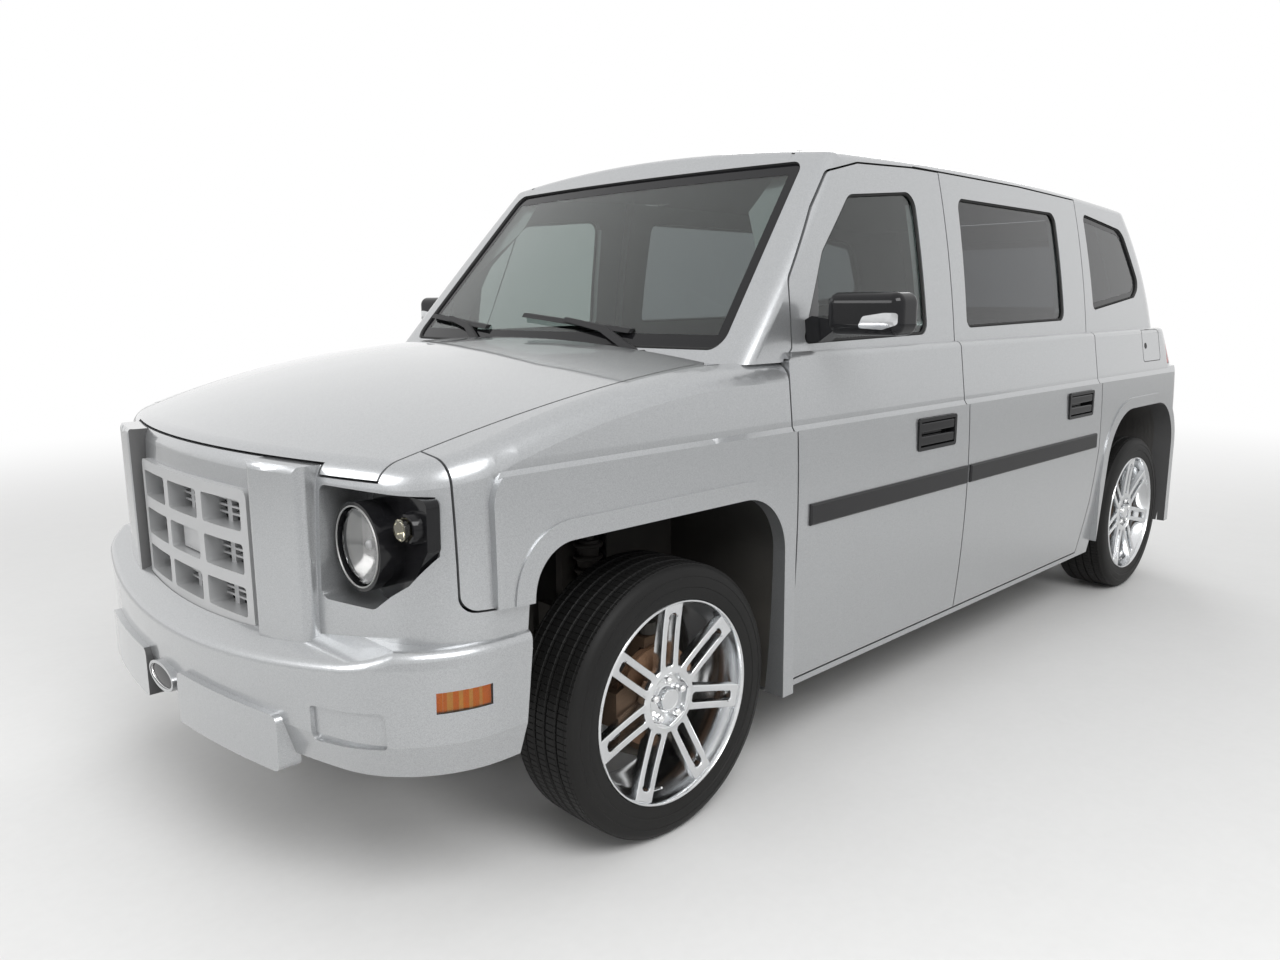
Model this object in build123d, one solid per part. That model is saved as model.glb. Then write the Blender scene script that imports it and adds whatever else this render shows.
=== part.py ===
from build123d import *
import os
from math import cos, pi, radians, sin

# Wheelchair accessible van. X points forward, Y to the vehicle's left and Z up; the ground is z = 0.
# All sizes are in millimetres, and the origin is at the middle of the vehicle on the ground.

# Driving dimensions
LENGTH = 5210
BODY_HALF = 1000
FRONT_AXLE_X = 1575
REAR_AXLE_X = -1893
TYRE_RADIUS = 396
TYRE_WIDTH = 248
RIM_RADIUS = 294
RIM_FACE_Y = 978
WHEEL_Z = TYRE_RADIUS

# Clearances
SHUT_GAP = 6.5
SEAT_GAP = 0.3
RUNNING_GAP = 0.3

# Body heights
SILL_Z = 285
DOOR_LOW_Z = 312
CREASE_LOW_Z = 1106
CREASE_TOP_Z = 1141
BELT_Z = 1346
SCREEN_BASE_Z = 1316
ROOF_Z = 2036

# Body stations along X
NOSE_X = 2500
BUMPER_X = LENGTH / 2
TAIL_X = -2568
FRONT_GAP_X = 1068
B_GAP_X = -12
C_GAP_X = -1316
HOOD_REAR_X = 1345
FIREWALL_X = 1175

# Wall thicknesses
SIDE_WALL = 62
GREEN_WALL = 46
ROOF_WALL = 34
SKIN = 22
GLASS = 6

# Floor and frame
FLOOR_TOP = 306
FLOOR_SHEET = 6
REAR_FLOOR_TOP = 606
FRAME_TOP = FLOOR_TOP - FLOOR_SHEET - SEAT_GAP
FRAME_LOW = 226
FRAME_HALF = 480
RAIL_WIDTH = 76

NOSE_BOW = 178
TAIL_BOW = 42
NOSE_CORNER = 215
TAIL_CORNER = 245


def solids_of(shape):
    """The separate solids of a shape as a list."""
    return [s for s in shape.solids()]


def group(*shapes):
    """Solids that don't touch, kept together in one node."""
    found = []
    for shape in shapes:
        found += solids_of(shape)
    return Compound(children=found)


def mirrored(shape):
    """The same shape on the vehicle's other side."""
    return mirror(shape, about=Plane.XZ)


def write(name, shape):
    """Write one node as a STEP file."""
    export_step(shape, "parts/" + name + ".step")


def block(x0, x1, y0, y1, z0, z1):
    """A box between two corners."""
    size = Box(x1 - x0, y1 - y0, z1 - z0)
    return Pos((x0 + x1) / 2, (y0 + y1) / 2, (z0 + z1) / 2) * size


def rod(start, end, radius):
    """A round bar between two points."""
    a, b = Vector(*start), Vector(*end)
    plane = Plane(origin=a, z_dir=(b - a).normalized())
    return extrude(plane * Circle(radius), (b - a).length)


def side_prism(points, y0, y1, radii=None):
    """A prism through Y over an outline of X, Z points, with a radius for each named corner."""
    wire = Polyline(*[(x, 0, z) for x, z in points], close=True)
    face = make_face(wire)
    for index, radius in (radii or {}).items():
        corner = Vector(points[index][0], 0, points[index][1])
        vertex = min(face.vertices(), key=lambda v: (Vector(*v) - corner).length)
        face = fillet([vertex], radius)
    solid = extrude(face, y1 - y0, dir=(0, 1, 0))
    return Pos(0, y0, 0) * solid


def front_prism(points, x0, x1, radii=None):
    """A prism through X over an outline of Y, Z points, with a radius for each named corner."""
    wire = Polyline(*[(0, y, z) for y, z in points], close=True)
    face = make_face(wire)
    for index, radius in (radii or {}).items():
        corner = Vector(0, points[index][0], points[index][1])
        vertex = min(face.vertices(), key=lambda v: (Vector(*v) - corner).length)
        face = fillet([vertex], radius)
    return Pos(x0, 0, 0) * extrude(face, x1 - x0, dir=(1, 0, 0))


def plan_outline(z, half_front, half_rear, nose_x, tail_x, nose_bow, tail_bow, nose_r, tail_r):
    """A plan view of the body at one height: bowed ends, straight sides and rounded corners."""
    nose = ThreePointArc((nose_x - nose_bow, -half_front), (nose_x, 0), (nose_x - nose_bow, half_front))
    left = Line((nose_x - nose_bow, half_front), (tail_x + tail_bow, half_rear))
    tail = ThreePointArc((tail_x + tail_bow, half_rear), (tail_x, 0), (tail_x + tail_bow, -half_rear))
    right = Line((tail_x + tail_bow, -half_rear), (nose_x - nose_bow, -half_front))
    face = make_face(Curve() + [nose, left, tail, right])
    fore = [v for v in face.vertices() if v.X > 0]
    face = fillet(fore, nose_r)
    aft = [v for v in face.vertices() if v.X < tail_x + tail_bow + 1]
    face = fillet(aft, tail_r)
    return Pos(0, 0, z) * face


# Plan outlines up the lower body. Columns: height, half width front, half width rear, nose x, tail x.
WALL_LEVELS = (
    (SILL_Z, 958, 958, NOSE_X - 12, TAIL_X + 14),
    (780, 984, 984, NOSE_X, TAIL_X),
    (CREASE_TOP_Z, 974, 968, NOSE_X - 14, TAIL_X + 6),
    (BELT_Z + 120, 948, 914, NOSE_X - 60, TAIL_X + 130),
)
# The door band stands proud below the crease.
BAND_LEVELS = (
    (SILL_Z, 968, 968),
    (780, BODY_HALF + 2, BODY_HALF + 1),
    (CREASE_TOP_Z + 60, 992, 988),
)
# Plan outlines up the greenhouse. Columns: height, half width front, half width rear, front x, rear x.
GREEN_LEVELS = (
    (BELT_Z - 60, 944, 892, 1348, -2452),
    (1700, 890, 838, 994, -2292),
    (2070, 812, 760, 678, -2010),
)
WINDSCREEN_BOW = 62
GREEN_TAIL_BOW = 40


def lower_wall(inset):
    """The lower body's plain outer form, or its inner form when it is inset."""
    faces = []
    for z, half_front, half_rear, nose_x, tail_x in WALL_LEVELS:
        faces.append(plan_outline(z, half_front - inset, half_rear - inset, nose_x - inset, tail_x + inset,
                                  NOSE_BOW, TAIL_BOW, NOSE_CORNER - inset, TAIL_CORNER - inset))
    return loft(faces[:3]) + loft(faces[2:], ruled=True)


def door_band(grow=0):
    """The proud band below the crease, before its ends are shaped."""
    faces = []
    for z, half_front, half_rear in BAND_LEVELS:
        faces.append(plan_outline(z, half_front + grow, half_rear + grow, NOSE_X, TAIL_X - grow, NOSE_BOW, TAIL_BOW,
                                  NOSE_CORNER, TAIL_CORNER))
    return loft(faces)


def greenhouse(inset):
    """The glazed upper body with its raked ends, still without a roof skin."""
    faces = []
    for z, half_front, half_rear, front_x, rear_x in GREEN_LEVELS:
        faces.append(plan_outline(z, half_front - inset, half_rear - inset, front_x - inset, rear_x + inset,
                                  WINDSCREEN_BOW, GREEN_TAIL_BOW, max(58 - inset, 5), 225 - inset))
    return loft(faces)


def domed(top_z, apex_x, long_radius, cross_radius, depth, half_angle):
    """A body whose top is curved both along X and across Y, its highest point at apex_x."""
    half = 1150
    drop = half * half / (2 * cross_radius)
    arc = ThreePointArc((apex_x, -half, top_z - drop), (apex_x, 0, top_z), (apex_x, half, top_z - drop))
    rim = Polyline((apex_x, half, top_z - drop), (apex_x, half, top_z - depth),
                   (apex_x, -half, top_z - depth), (apex_x, -half, top_z - drop))
    face = make_face(Curve() + [arc, rim])
    axis = Axis((apex_x, 0, top_z - long_radius), (0, 1, 0))
    face = face.rotate(axis, -half_angle)
    return revolve(face, axis, 2 * half_angle)


ROOF_APEX_X = -250
ROOF_LONG_R = 26000
ROOF_CROSS_R = 7400
HOOD_APEX_X = 1235
HOOD_APEX_Z = 1380
HOOD_LONG_R = 3350
HOOD_CROSS_R = 7000
SHOULDER_R = 70


def roof_form(inset):
    """Everything below the roof skin."""
    return domed(ROOF_Z - inset, ROOF_APEX_X, ROOF_LONG_R - inset, ROOF_CROSS_R, 1100, 7)


def hood_form(inset):
    """Everything below the hood skin."""
    return domed(HOOD_APEX_Z - inset, HOOD_APEX_X, HOOD_LONG_R - inset, HOOD_CROSS_R, 1250, 30)


# Wheel arch openings. Columns of each row: X from the axle, Z, corner radius.
FRONT_ARCH = ((-448, 150, 0), (-440, 938, 185), (500, 938, 120), (575, 150, 0))
REAR_ARCH = ((575, 150, 0), (415, 962, 290), (-446, 962, 250), (-446, 150, 0))


def arch(rows, axle_x, grow, y0, y1):
    """A prism through one wheel arch, grown outward by a margin."""
    points = []
    radii = {}
    middle = sum(row[0] for row in rows) / len(rows)
    for index, (x, z, radius) in enumerate(rows):
        outward = grow if x > middle else -grow
        points.append((axle_x + x + outward, z + (grow if radius else 0)))
        if radius:
            radii[index] = radius + grow
    return side_prism(points, y0, y1, radii)


BAND_FRONT_X = 2190
FLARE_WIDTH = 52
FLARE_PROUD = 7
SHOULDER_SMALL_R = 26


def front_body():
    """The solid nose, hood and fender form ahead of the doors."""
    form = lower_wall(0) & block(FRONT_GAP_X - 40, 3000, -1200, 1200, SILL_Z, 1500) & hood_form(0)
    shoulders = [e for e in form.edges() if abs(e.center().Y) > 880 and e.center().Z > 1180 and e.length > 600]
    form = fillet(shoulders, SHOULDER_R)
    return form


def rear_body():
    """The solid lower body from the doors to the tail, with its shoulder rounded."""
    form = lower_wall(0) & block(-3000, FRONT_GAP_X + 200, -1200, 1200, SILL_Z, BELT_Z)
    shoulders = [e for e in form.edges() if abs(e.center().Z - BELT_Z) < 1 and e.center().X < FRONT_GAP_X]
    return fillet(shoulders, SHOULDER_SMALL_R)


def bands():
    """The proud band below the crease on both sides, its front end rounded in side view."""
    reach = side_prism(((-3000, 100), (-3000, CREASE_TOP_Z), (BAND_FRONT_X, CREASE_TOP_Z),
                        (BAND_FRONT_X, 100)), 900, 1100, {2: 95})
    form = door_band() & reach
    slope = side_prism(((-3000, CREASE_LOW_Z), (-3000, CREASE_TOP_Z + 40), (3000, CREASE_TOP_Z + 40),
                        (3000, CREASE_LOW_Z)), 0, 200)
    slope = Pos(0, 985, CREASE_LOW_Z) * (Rotation(32, 0, 0) * (Pos(0, 0, -CREASE_LOW_Z) * slope))
    return form - slope


def flares():
    """The raised lips round the two wheel openings of the left side."""
    rings = []
    for rows, axle_x in ((FRONT_ARCH, FRONT_AXLE_X), (REAR_ARCH, REAR_AXLE_X)):
        ring = arch(rows, axle_x, FLARE_WIDTH, BODY_HALF - 30, BODY_HALF + FLARE_PROUD)
        reach = block(FRONT_GAP_X + SHUT_GAP, BAND_FRONT_X - 30, 0, 1100, SILL_Z, 1100)
        reach = reach + block(-3000, C_GAP_X - 40, 0, 1100, SILL_Z, 1100)
        rings.append(ring & reach)
    return rings


# Doors: the hinge axis stands upright near the front edge, just inside the widest skin.
HINGE_BACK = 48
HINGE_IN = 11
HINGE_Y = BODY_HALF + 3 - HINGE_IN
PIN_R = 4
PIN_LONG = 12
BOSS_R = 6
ARM_FRONT = 3
ARM_HALF_Z = 15
SWING_REACH = 25
SWING_ROOM = 80
ARM_LONG = 97
ARM_LEVELS = (740, 1010)
DOOR_TOP_Z = 1962
POST_OUT = 28
POST_IN = 112
PILLAR_OUT = 68

# Front door outline. Columns: X, Z, corner radius.
FRONT_DOOR = (
    (FRONT_GAP_X, DOOR_LOW_Z, 12),
    (FRONT_GAP_X, 1318, 12),
    (1022, 1354, 20),
    (1018, 1556, 60),
    (842, 1785, 0),
    (735, 1905, 45),
    (560, 1945, 0),
    (200, DOOR_TOP_Z, 0),
    (-200, DOOR_TOP_Z + 3, 0),
    (-200, DOOR_LOW_Z, 0),
)
# Rear door outline, its lower rear corner swept forward round the wheel arch.
REAR_DOOR = (
    (200, DOOR_LOW_Z, 0),
    (200, DOOR_TOP_Z + 3, 0),
    (-700, DOOR_TOP_Z + 3, 0),
    (-1330, DOOR_TOP_Z - 12, 0),
    (-1400, DOOR_TOP_Z - 14, 0),
    (-1400, 900, 0),
    (-1318, 830, 0),
    (-1272, 560, 300),
    (-1198, DOOR_LOW_Z, 14),
)
# Window outlines. Columns: X, Z, corner radius.
FRONT_WINDOW = ((968, 1366, 22), (830, 1650, 90), (640, 1840, 70), (206, 1880, 60), (192, 1376, 45))
REAR_WINDOW = ((-115, 1392, 35), (-123, 1881, 45), (-1050, 1879, 55), (-1062, 1405, 45))
QUARTER_WINDOW = ((-1415, 1446, 30), (-1385, 1898, 35), (-1890, 1842, 130), (-2070, 1565, 60), (-1985, 1506, 50))
# Windows seen along X. Columns: Y, Z, corner radius.
WINDSCREEN = ((-836, 1354, 45), (-748, 1948, 45), (748, 1948, 45), (836, 1354, 45))
TAILGATE = ((-705, 604, 45), (-705, 1240, 90), (-628, 1500, 0), (-590, 1928, 50),
            (590, 1928, 50), (628, 1500, 0), (705, 1240, 90), (705, 604, 45))
TAILGATE_WINDOW = ((-545, 1420, 60), (-500, 1830, 70), (500, 1830, 70), (545, 1420, 60))


def outline(rows):
    """Split a table of X, Z, radius rows into points and named radii."""
    points = [(row[0], row[1]) for row in rows]
    radii = {i: row[2] for i, row in enumerate(rows) if row[2]}
    return points, radii


def side_cut(rows, y0=300, y1=1200):
    points, radii = outline(rows)
    return side_prism(points, y0, y1, radii)


def front_cut(rows, x0, x1):
    points, radii = outline(rows)
    return front_prism(points, x0, x1, radii)


def upright(x, y, radius, z0=100, z1=2200):
    """A tall cylinder that cuts a door edge to a true swing."""
    return Pos(x, y, (z0 + z1) / 2) * Cylinder(radius, z1 - z0)


FRONT_PIVOT_X = FRONT_GAP_X - SHUT_GAP / 2 - HINGE_BACK
REAR_PIVOT_X = B_GAP_X - SHUT_GAP / 2 - HINGE_BACK


def hinge_arm(pivot_x, post_x, z):
    """A root arm that reaches outboard from its post to an upright pin."""
    back = HINGE_Y - ARM_LONG
    bar = block(pivot_x - BOSS_R, pivot_x + ARM_FRONT, back, HINGE_Y, z - ARM_HALF_Z, z + ARM_HALF_Z)
    foot = block(pivot_x - BOSS_R, post_x, back, back + 2 * BOSS_R, z - ARM_HALF_Z, z + ARM_HALF_Z)
    boss = Pos(pivot_x, HINGE_Y, z) * Cylinder(BOSS_R, 2 * ARM_HALF_Z)
    pin = Pos(pivot_x, HINGE_Y, z) * Cylinder(PIN_R, 2 * (ARM_HALF_Z + PIN_LONG))
    return bar + foot + boss + pin


def hinge_notch(pivot_x, edge_x, z):
    """The room in a door that its hinge arm needs, with the two blind bores for the pin."""
    half = ARM_HALF_Z + RUNNING_GAP
    room = block(pivot_x - BOSS_R - 1.5, edge_x + 20, 850, HINGE_Y, z - half, z + half)
    around = Pos(pivot_x, HINGE_Y, z) * Cylinder(BOSS_R + 1, 2 * half)
    bore = Pos(pivot_x, HINGE_Y, z) * Cylinder(PIN_R + RUNNING_GAP, 2 * (ARM_HALF_Z + PIN_LONG + 1))
    swing = Polyline((pivot_x, HINGE_Y - 2, z - half), (pivot_x, HINGE_Y + BOSS_R + 1, z - half),
                     (pivot_x + SWING_REACH, HINGE_Y, z - half), (pivot_x + SWING_REACH, HINGE_Y - 2, z - half),
                     close=True)
    swing = extrude(make_face(swing), 2 * half, dir=(0, 0, 1))
    return room + around + bore + swing


def rounded_block(x0, x1, y0, y1, z0, z1, radius):
    return fillet(block(x0, x1, y0, y1, z0, z1).edges(), radius)


class Shell:
    """The forms that all body panels are cut from, worked out once."""

    def __init__(self):
        self.front = front_body()
        self.rear = rear_body()
        self.band = bands()
        self.flares = flares()
        self.roofed = greenhouse(0) & roof_form(0)
        top = [e for e in self.roofed.edges() if e.center().Z > 1930]
        self.roofed = fillet(top, 34)
        lower_room = lower_wall(SIDE_WALL) & block(-3000, FIREWALL_X, -1000, 1000, 100, BELT_Z - 1)
        self.upper_room = greenhouse(GREEN_WALL) & roof_form(ROOF_WALL)
        self.room = lower_room + self.upper_room
        self.front_arch = arch(FRONT_ARCH, FRONT_AXLE_X, 0, 300, 1200)
        self.rear_arch = arch(REAR_ARCH, REAR_AXLE_X, 0, 300, 1200)
        half = block(-3000, 3000, 0, 1300, 0, 2300)
        form = (self.rear + self.band + self.flares[1]) & half & block(-3000, FRONT_GAP_X, 0, 1300, 0, 2300)
        inner_post = lower_wall(POST_OUT) & block(FRONT_GAP_X + 7, FIREWALL_X, 0, 1300, SILL_Z, 1300)
        upper = self.roofed & half & block(-3000, 3000, 0, 1300, SCREEN_BASE_Z, 2300)
        self.left = (form + upper) - self.room
        self.post = (inner_post - lower_wall(POST_IN)) & block(0, 3000, 0, 1300, SILL_Z, 1300) & hood_form(POST_OUT)
        self.glass = greenhouse(12) - greenhouse(12 + GLASS)


def swing_cut(front):
    """Keeps what lies on the front or the rear door's side of the gap between them."""
    radius = FRONT_PIVOT_X - B_GAP_X - SHUT_GAP / 2
    if front:
        return upright(FRONT_PIVOT_X, HINGE_Y, radius)
    return upright(FRONT_PIVOT_X, HINGE_Y, radius + SHUT_GAP)


def door_forms():
    """The front and rear door outlines as prisms, cut to their swing."""
    front = side_cut(FRONT_DOOR) & swing_cut(True)
    front = front & block(-3000, FRONT_GAP_X - SHUT_GAP / 2, 0, 1300, 0, 2300)
    rear = side_cut(REAR_DOOR) & upright(REAR_PIVOT_X, HINGE_Y, REAR_PIVOT_X - C_GAP_X - SHUT_GAP / 2)
    rear = rear & block(-3000, B_GAP_X + 60, 0, 1300, 0, 2300) - swing_cut(False)
    return front, rear


def opening_forms():
    """The two door openings, larger than their doors by the shut gap."""
    front = offset_outline(FRONT_DOOR, SHUT_GAP)
    rear = offset_outline(REAR_DOOR, SHUT_GAP)
    rear = rear & upright(REAR_PIVOT_X, HINGE_Y, REAR_PIVOT_X - C_GAP_X + SHUT_GAP / 2)
    rear = rear & block(-3000, B_GAP_X + 200, 0, 1300, 0, 2300)
    front = front & block(B_GAP_X - 100, FRONT_GAP_X + SHUT_GAP / 2, 0, 1300, 0, 2300)
    under_roof = greenhouse(GREEN_WALL + 2) & block(-3000, 3000, 0, 1300, DOOR_TOP_Z - 60, 2300)
    under_roof = under_roof - block(REAR_PIVOT_X - SWING_ROOM, B_GAP_X + 12, 0, 1300, 1800, 2300)
    return front + rear - under_roof


def offset_outline(rows, margin):
    """A prism over an outline that is moved out by a margin all round."""
    points, radii = outline(rows)
    wire = Polyline(*[(x, 0, z) for x, z in points], close=True)
    face = make_face(wire)
    for index, radius in radii.items():
        corner = Vector(points[index][0], 0, points[index][1])
        vertex = min(face.vertices(), key=lambda v: (Vector(*v) - corner).length)
        face = fillet([vertex], radius)
    face = offset(face, amount=margin, kind=Kind.INTERSECTION)
    return Pos(0, 300, 0) * extrude(face, 900, dir=(0, 1, 0))


def door_panel(shell, form, window, pivot_x, edge_x):
    """A door as thick as the wall, with its window and the rooms for its hinge arms cut."""
    upper = greenhouse(GREEN_WALL) & block(-3000, 3000, 0, 1300, BELT_Z, 2300)
    panel = (shell.left & form) - side_cut(window) - upper
    for z in ARM_LEVELS:
        panel = panel - hinge_notch(pivot_x, edge_x, z)
    return panel


def door_glass(shell, rows):
    pane = offset_outline(rows, -SEAT_GAP) & shell.glass
    return pane & block(-3000, 3000, 500, 1300, 0, 2300)


HANDLE_SIZE = (272, 118)
HANDLES = {"front": (235, 1030), "rear": (-1065, 1030)}
MOULDING = (812, 880)
MOULDING_PROUD = 12


def handle_pocket(x, z):
    w, h = HANDLE_SIZE
    return fillet(block(x - w / 2, x + w / 2, 968, 1100, z - h / 2, z + h / 2).edges().filter_by(Axis.Y), 14)


def door_trim(panel, x0, x1, x, z):
    """A recessed pull handle with two bars, and a stretch of side moulding, as two solids."""
    w, h = HANDLE_SIZE
    housing = block(x - w / 2 + 1, x + w / 2 - 1, 968 + SEAT_GAP, 1006, z - h / 2 + 1, z + h / 2 - 1)
    housing = fillet(housing.edges().filter_by(Axis.Y), 13)
    housing = housing - block(x - w / 2 + 16, x + w / 2 - 16, 978, 1100, z - h / 2 + 14, z + h / 2 - 14)
    for offset_z in (-24, 24):
        bar = block(x - w / 2 + 12, x + w / 2 - 12, 984, 1004, z + offset_z - 17, z + offset_z + 17)
        housing = housing + fillet(bar.edges().filter_by(Axis.X), 5)
    strip = block(x0, x1, 985, BODY_HALF + MOULDING_PROUD, *MOULDING)
    strip = chamfer(strip.faces().sort_by(Axis.Y)[-1].edges(), 5) - panel
    strip = max(strip.solids(), key=lambda s: s.volume)
    return group(housing, strip)


def mirror_housing():
    """The left door mirror: a rounded housing on an arm from the window's front corner."""
    housing = rounded_block(835, 958, 1000, 1256, 1396, 1522, 34)
    dish = fillet(block(820, 846, 1014, 1242, 1410, 1508).edges().filter_by(Axis.X), 22)
    foot = front_prism(((925, 1372), (925, 1440), (950, 1452), (1030, 1440), (1030, 1408), (975, 1372)), 880, 950)
    return (housing - dish) + foot


def hood_plan(margin):
    """The hood's plan between its two side seams, grown by a margin."""
    rear = HOOD_REAR_X - margin
    left = ThreePointArc((2420, 790 + margin), (1900, 874 + margin), (rear, 864 + margin))
    right = ThreePointArc((rear, -864 - margin), (1900, -874 - margin), (2420, -790 - margin))
    ends = [Line(left @ 1, right @ 0), Line(right @ 1, (2700, -790 - margin)),
            Line((2700, -790 - margin), (2700, 790 + margin)), Line((2700, 790 + margin), left @ 0)]
    face = make_face(Curve() + [left, right] + ends)
    form = Pos(0, 0, HOOD_LAMP_Z - margin) * extrude(face, 500)
    return form - block(2280, 3000, -HOOD_STEP_Y + margin, HOOD_STEP_Y - margin, 900, HOOD_LIP_Z - margin)


HOOD_LIP_Z = 1134
HOOD_LAMP_Z = 1108
HOOD_STEP_Y = 628
HOOD_GAP = 6
HOOD_AXIS = (1330, 1344)
HOOD_EAR_Y = (-560, 560)
SEAM_X = 2268
SEAM_Z = 812


def fascia_region(margin):
    """Where the front fascia lies, ahead of and below the fender seam."""
    return side_prism(((SEAM_X + margin, 1300), (SEAM_X + margin, SEAM_Z - margin),
                       (2040, SEAM_Z - margin - 12), (2040, 100), (2900, 100), (2900, 1300)),
                      -1200, 1200, {1: 40})


# Bumper plan levels. Columns: height, how far the face is set back.
BUMPER_LEVELS = ((436, 26), (520, 4), (700, 0), (742, 4))
BUMPER_WALL = 36
FASCIA_WALL = 30
# The bumper's face stands back behind its two raised lower blocks, and its top falls towards the front.
FACE_BACK = 14
SHELF = (2396, 742, 0.5)
# Raised lower block and recessed panel on each side, and the bare oval in the middle, seen along X.
BUMPER_BLOCK = ((118, 398, 10), (118, 540, 24), (592, 540, 24), (592, 398, 18))
BUMPER_PANEL = ((690, 500, 12), (690, 588, 12), (888, 602, 12), (888, 514, 12))
PANEL_DEPTH = 9
OVAL = (493, 90, 40)
OVAL_RIM = 9
OVAL_FRONT_X = BUMPER_X


def bumper_form(inset, low, high):
    faces = []
    for z, draft in BUMPER_LEVELS:
        d = inset + draft
        faces.append(plan_outline(z, BODY_HALF + 4 - d, BODY_HALF + 4 - d, BUMPER_X - FACE_BACK - d, -1000,
                                  178, 30, 310 - inset, 60))
    form = loft(faces, ruled=True) & block(2020, 3000, -1300, 1300, low, high)
    return form


def above_shelf(drop):
    """What lies above the bumper's sloping top, or above a slope that much lower."""
    x, z, fall = SHELF
    z = z - drop
    return side_prism(((x, z), (x, 1200), (2800, 1200), (2800, z - fall * (2800 - x))), -1300, 1300)


def bumper_block():
    """The left raised block on the bumper's lower half."""
    points, radii = outline(BUMPER_BLOCK)
    region = front_prism(points, 2300, 2700, radii)
    low = BUMPER_BLOCK[0][1]
    deep = FACE_BACK + BUMPER_WALL - 1
    outer = plan_outline(low, BODY_HALF + 4, BODY_HALF + 4, BUMPER_X, -1000, 178, 30, 310, 60)
    inner = plan_outline(low, BODY_HALF + 4 - deep, BODY_HALF + 4 - deep, BUMPER_X - deep, -1000, 178, 30,
                         310 - deep, 60)
    return (extrude(outer, 200) - extrude(inner, 200)) & region


def oval(half_y, half_z, x0, x1):
    """A flat oval prism on the bumper's middle."""
    face = Plane(origin=(x0, 0, OVAL[0]), x_dir=(0, 1, 0), z_dir=(1, 0, 0)) * Ellipse(half_y, half_z)
    return extrude(face, x1 - x0)


GRILLE_HALF_Y = 372
GRILLE_LOW_Z = 680
GRILLE_HIGH_Z = 1046
LAMP_Y = 745
LAMP_Z = 952
LAMP_R = 92
RECESS = ((630, 1086, 18), (630, 815, 26), (796, 812, 30), (842, 848, 12), (886, 878, 14),
          (946, 958, 16), (948, 1078, 22))
RECESS_FLOOR_X = 2296
PILLAR_Y = (408, 618)
PILLAR_LOW_Z = 672


def front_fascia(shell):
    """The one-piece nose moulding: grille surround, pillars, lamp recesses and bumper."""
    nose = shell.front - (lower_wall(FASCIA_WALL) & hood_form(FASCIA_WALL)) - block(1000, 2700, -1200, 1200, 0, 690)
    lamp_boxes = block(2215, 2600, 596, 985, 792, 1200)
    nose = nose + (shell.front & (lamp_boxes + mirrored(lamp_boxes)))
    bumper = bumper_form(0, 100, 800) - above_shelf(0)
    top = [e for e in bumper.edges() if e.center().Z > 600 and e.center().X > 2100 and e.length > 150
           and abs(e.center().X - SHELF[0]) > 5 and not (abs(e.center().Y) < 5 and e.center().X < SHELF[0])]
    bumper = fillet(top, 26)
    bumper = bumper - (bumper_form(BUMPER_WALL, 100, 700) - above_shelf(BUMPER_WALL + 4))
    bumper = bumper - (lower_wall(FASCIA_WALL) & block(1900, 2700, -1300, 1300, 690, 800))
    pillars = plan_outline(PILLAR_LOW_Z, 984, 984, NOSE_X + 34, -1000, NOSE_BOW, 30, NOSE_CORNER, 60)
    pillars = extrude(pillars, 1136 - PILLAR_LOW_Z)
    post = pillars & block(2300, 2700, *PILLAR_Y, PILLAR_LOW_Z, 1200)
    edges = [e for e in post.edges() if e.center().X > 2440]
    post = fillet(edges, 26)
    post = post - lower_wall(FASCIA_WALL)
    form = nose + bumper + post + mirrored(post)
    form = form & fascia_region(0)
    form = form - hood_plan(HOOD_GAP)
    recess = front_cut(RECESS, RECESS_FLOOR_X, 2700)
    opening = block(2300, 2700, -GRILLE_HALF_Y, GRILLE_HALF_Y, GRILLE_LOW_Z, GRILLE_HIGH_Z)
    opening = fillet(opening.edges().filter_by(Axis.X), 24)
    before_grille = plan_outline(GRILLE_LOW_Z - 10, 984, 984, NOSE_X + 12, -1000, NOSE_BOW, 30, NOSE_CORNER, 60)
    opening = opening & extrude(before_grille, 500)
    form = form - recess - mirrored(recess) - opening
    raised = bumper_block()
    form = form + raised + mirrored(raised) + oval(OVAL[1], OVAL[2], 2550, OVAL_FRONT_X)
    form = form - oval(OVAL[1] - OVAL_RIM, OVAL[2] - OVAL_RIM, OVAL_FRONT_X - 7, OVAL_FRONT_X + 20)
    points, radii = outline(BUMPER_PANEL)
    sunk = (bumper_form(-2, 440, 690) - bumper_form(PANEL_DEPTH, 440, 690)) & front_prism(points, 2300, 2700, radii)
    form = form - sunk - mirrored(sunk)
    form = form - shell.front_arch - mirrored(shell.front_arch)
    return max(form.solids(), key=lambda s: s.volume)


def fenders(shell):
    """The left front fender skin."""
    form = (shell.front + shell.band + shell.flares[0]) & block(FRONT_GAP_X + SHUT_GAP / 2, 3000, 300, 1300, 0, 2000)
    form = form - (lower_wall(SKIN) & hood_form(SKIN))
    form = form - fascia_region(-5) - hood_plan(HOOD_GAP) - shell.front_arch
    form = form & block(0, 3000, 700, 1300, 0, 2000)
    form = form - block(0, HOOD_REAR_X + 30, 0, 905, 1290, 1500)
    form = form - (greenhouse(-SEAT_GAP) & block(0, 2000, 0, 1300, SCREEN_BASE_Z - SEAT_GAP, 1500))
    return max(form.solids(), key=lambda s: s.volume)


def hood(shell):
    form = shell.front & hood_plan(0)
    form = form - (lower_wall(SKIN) & hood_form(SKIN)) & block(HOOD_REAR_X, 3000, -1300, 1300, 900, 1500)
    x, z = HOOD_AXIS
    for y in HOOD_EAR_Y:
        ear = rod((x, y - 12, z), (x, y + 12, z), 10)
        ear = ear + block(x - 2, x + 46, y - 12, y + 12, z, z + 18)
        ear = ear & hood_form(4)
        form = form + ear
        form = form - rod((x, y - 20, z), (x, y + 20, z), PIN_R + RUNNING_GAP)
    return form


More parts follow.
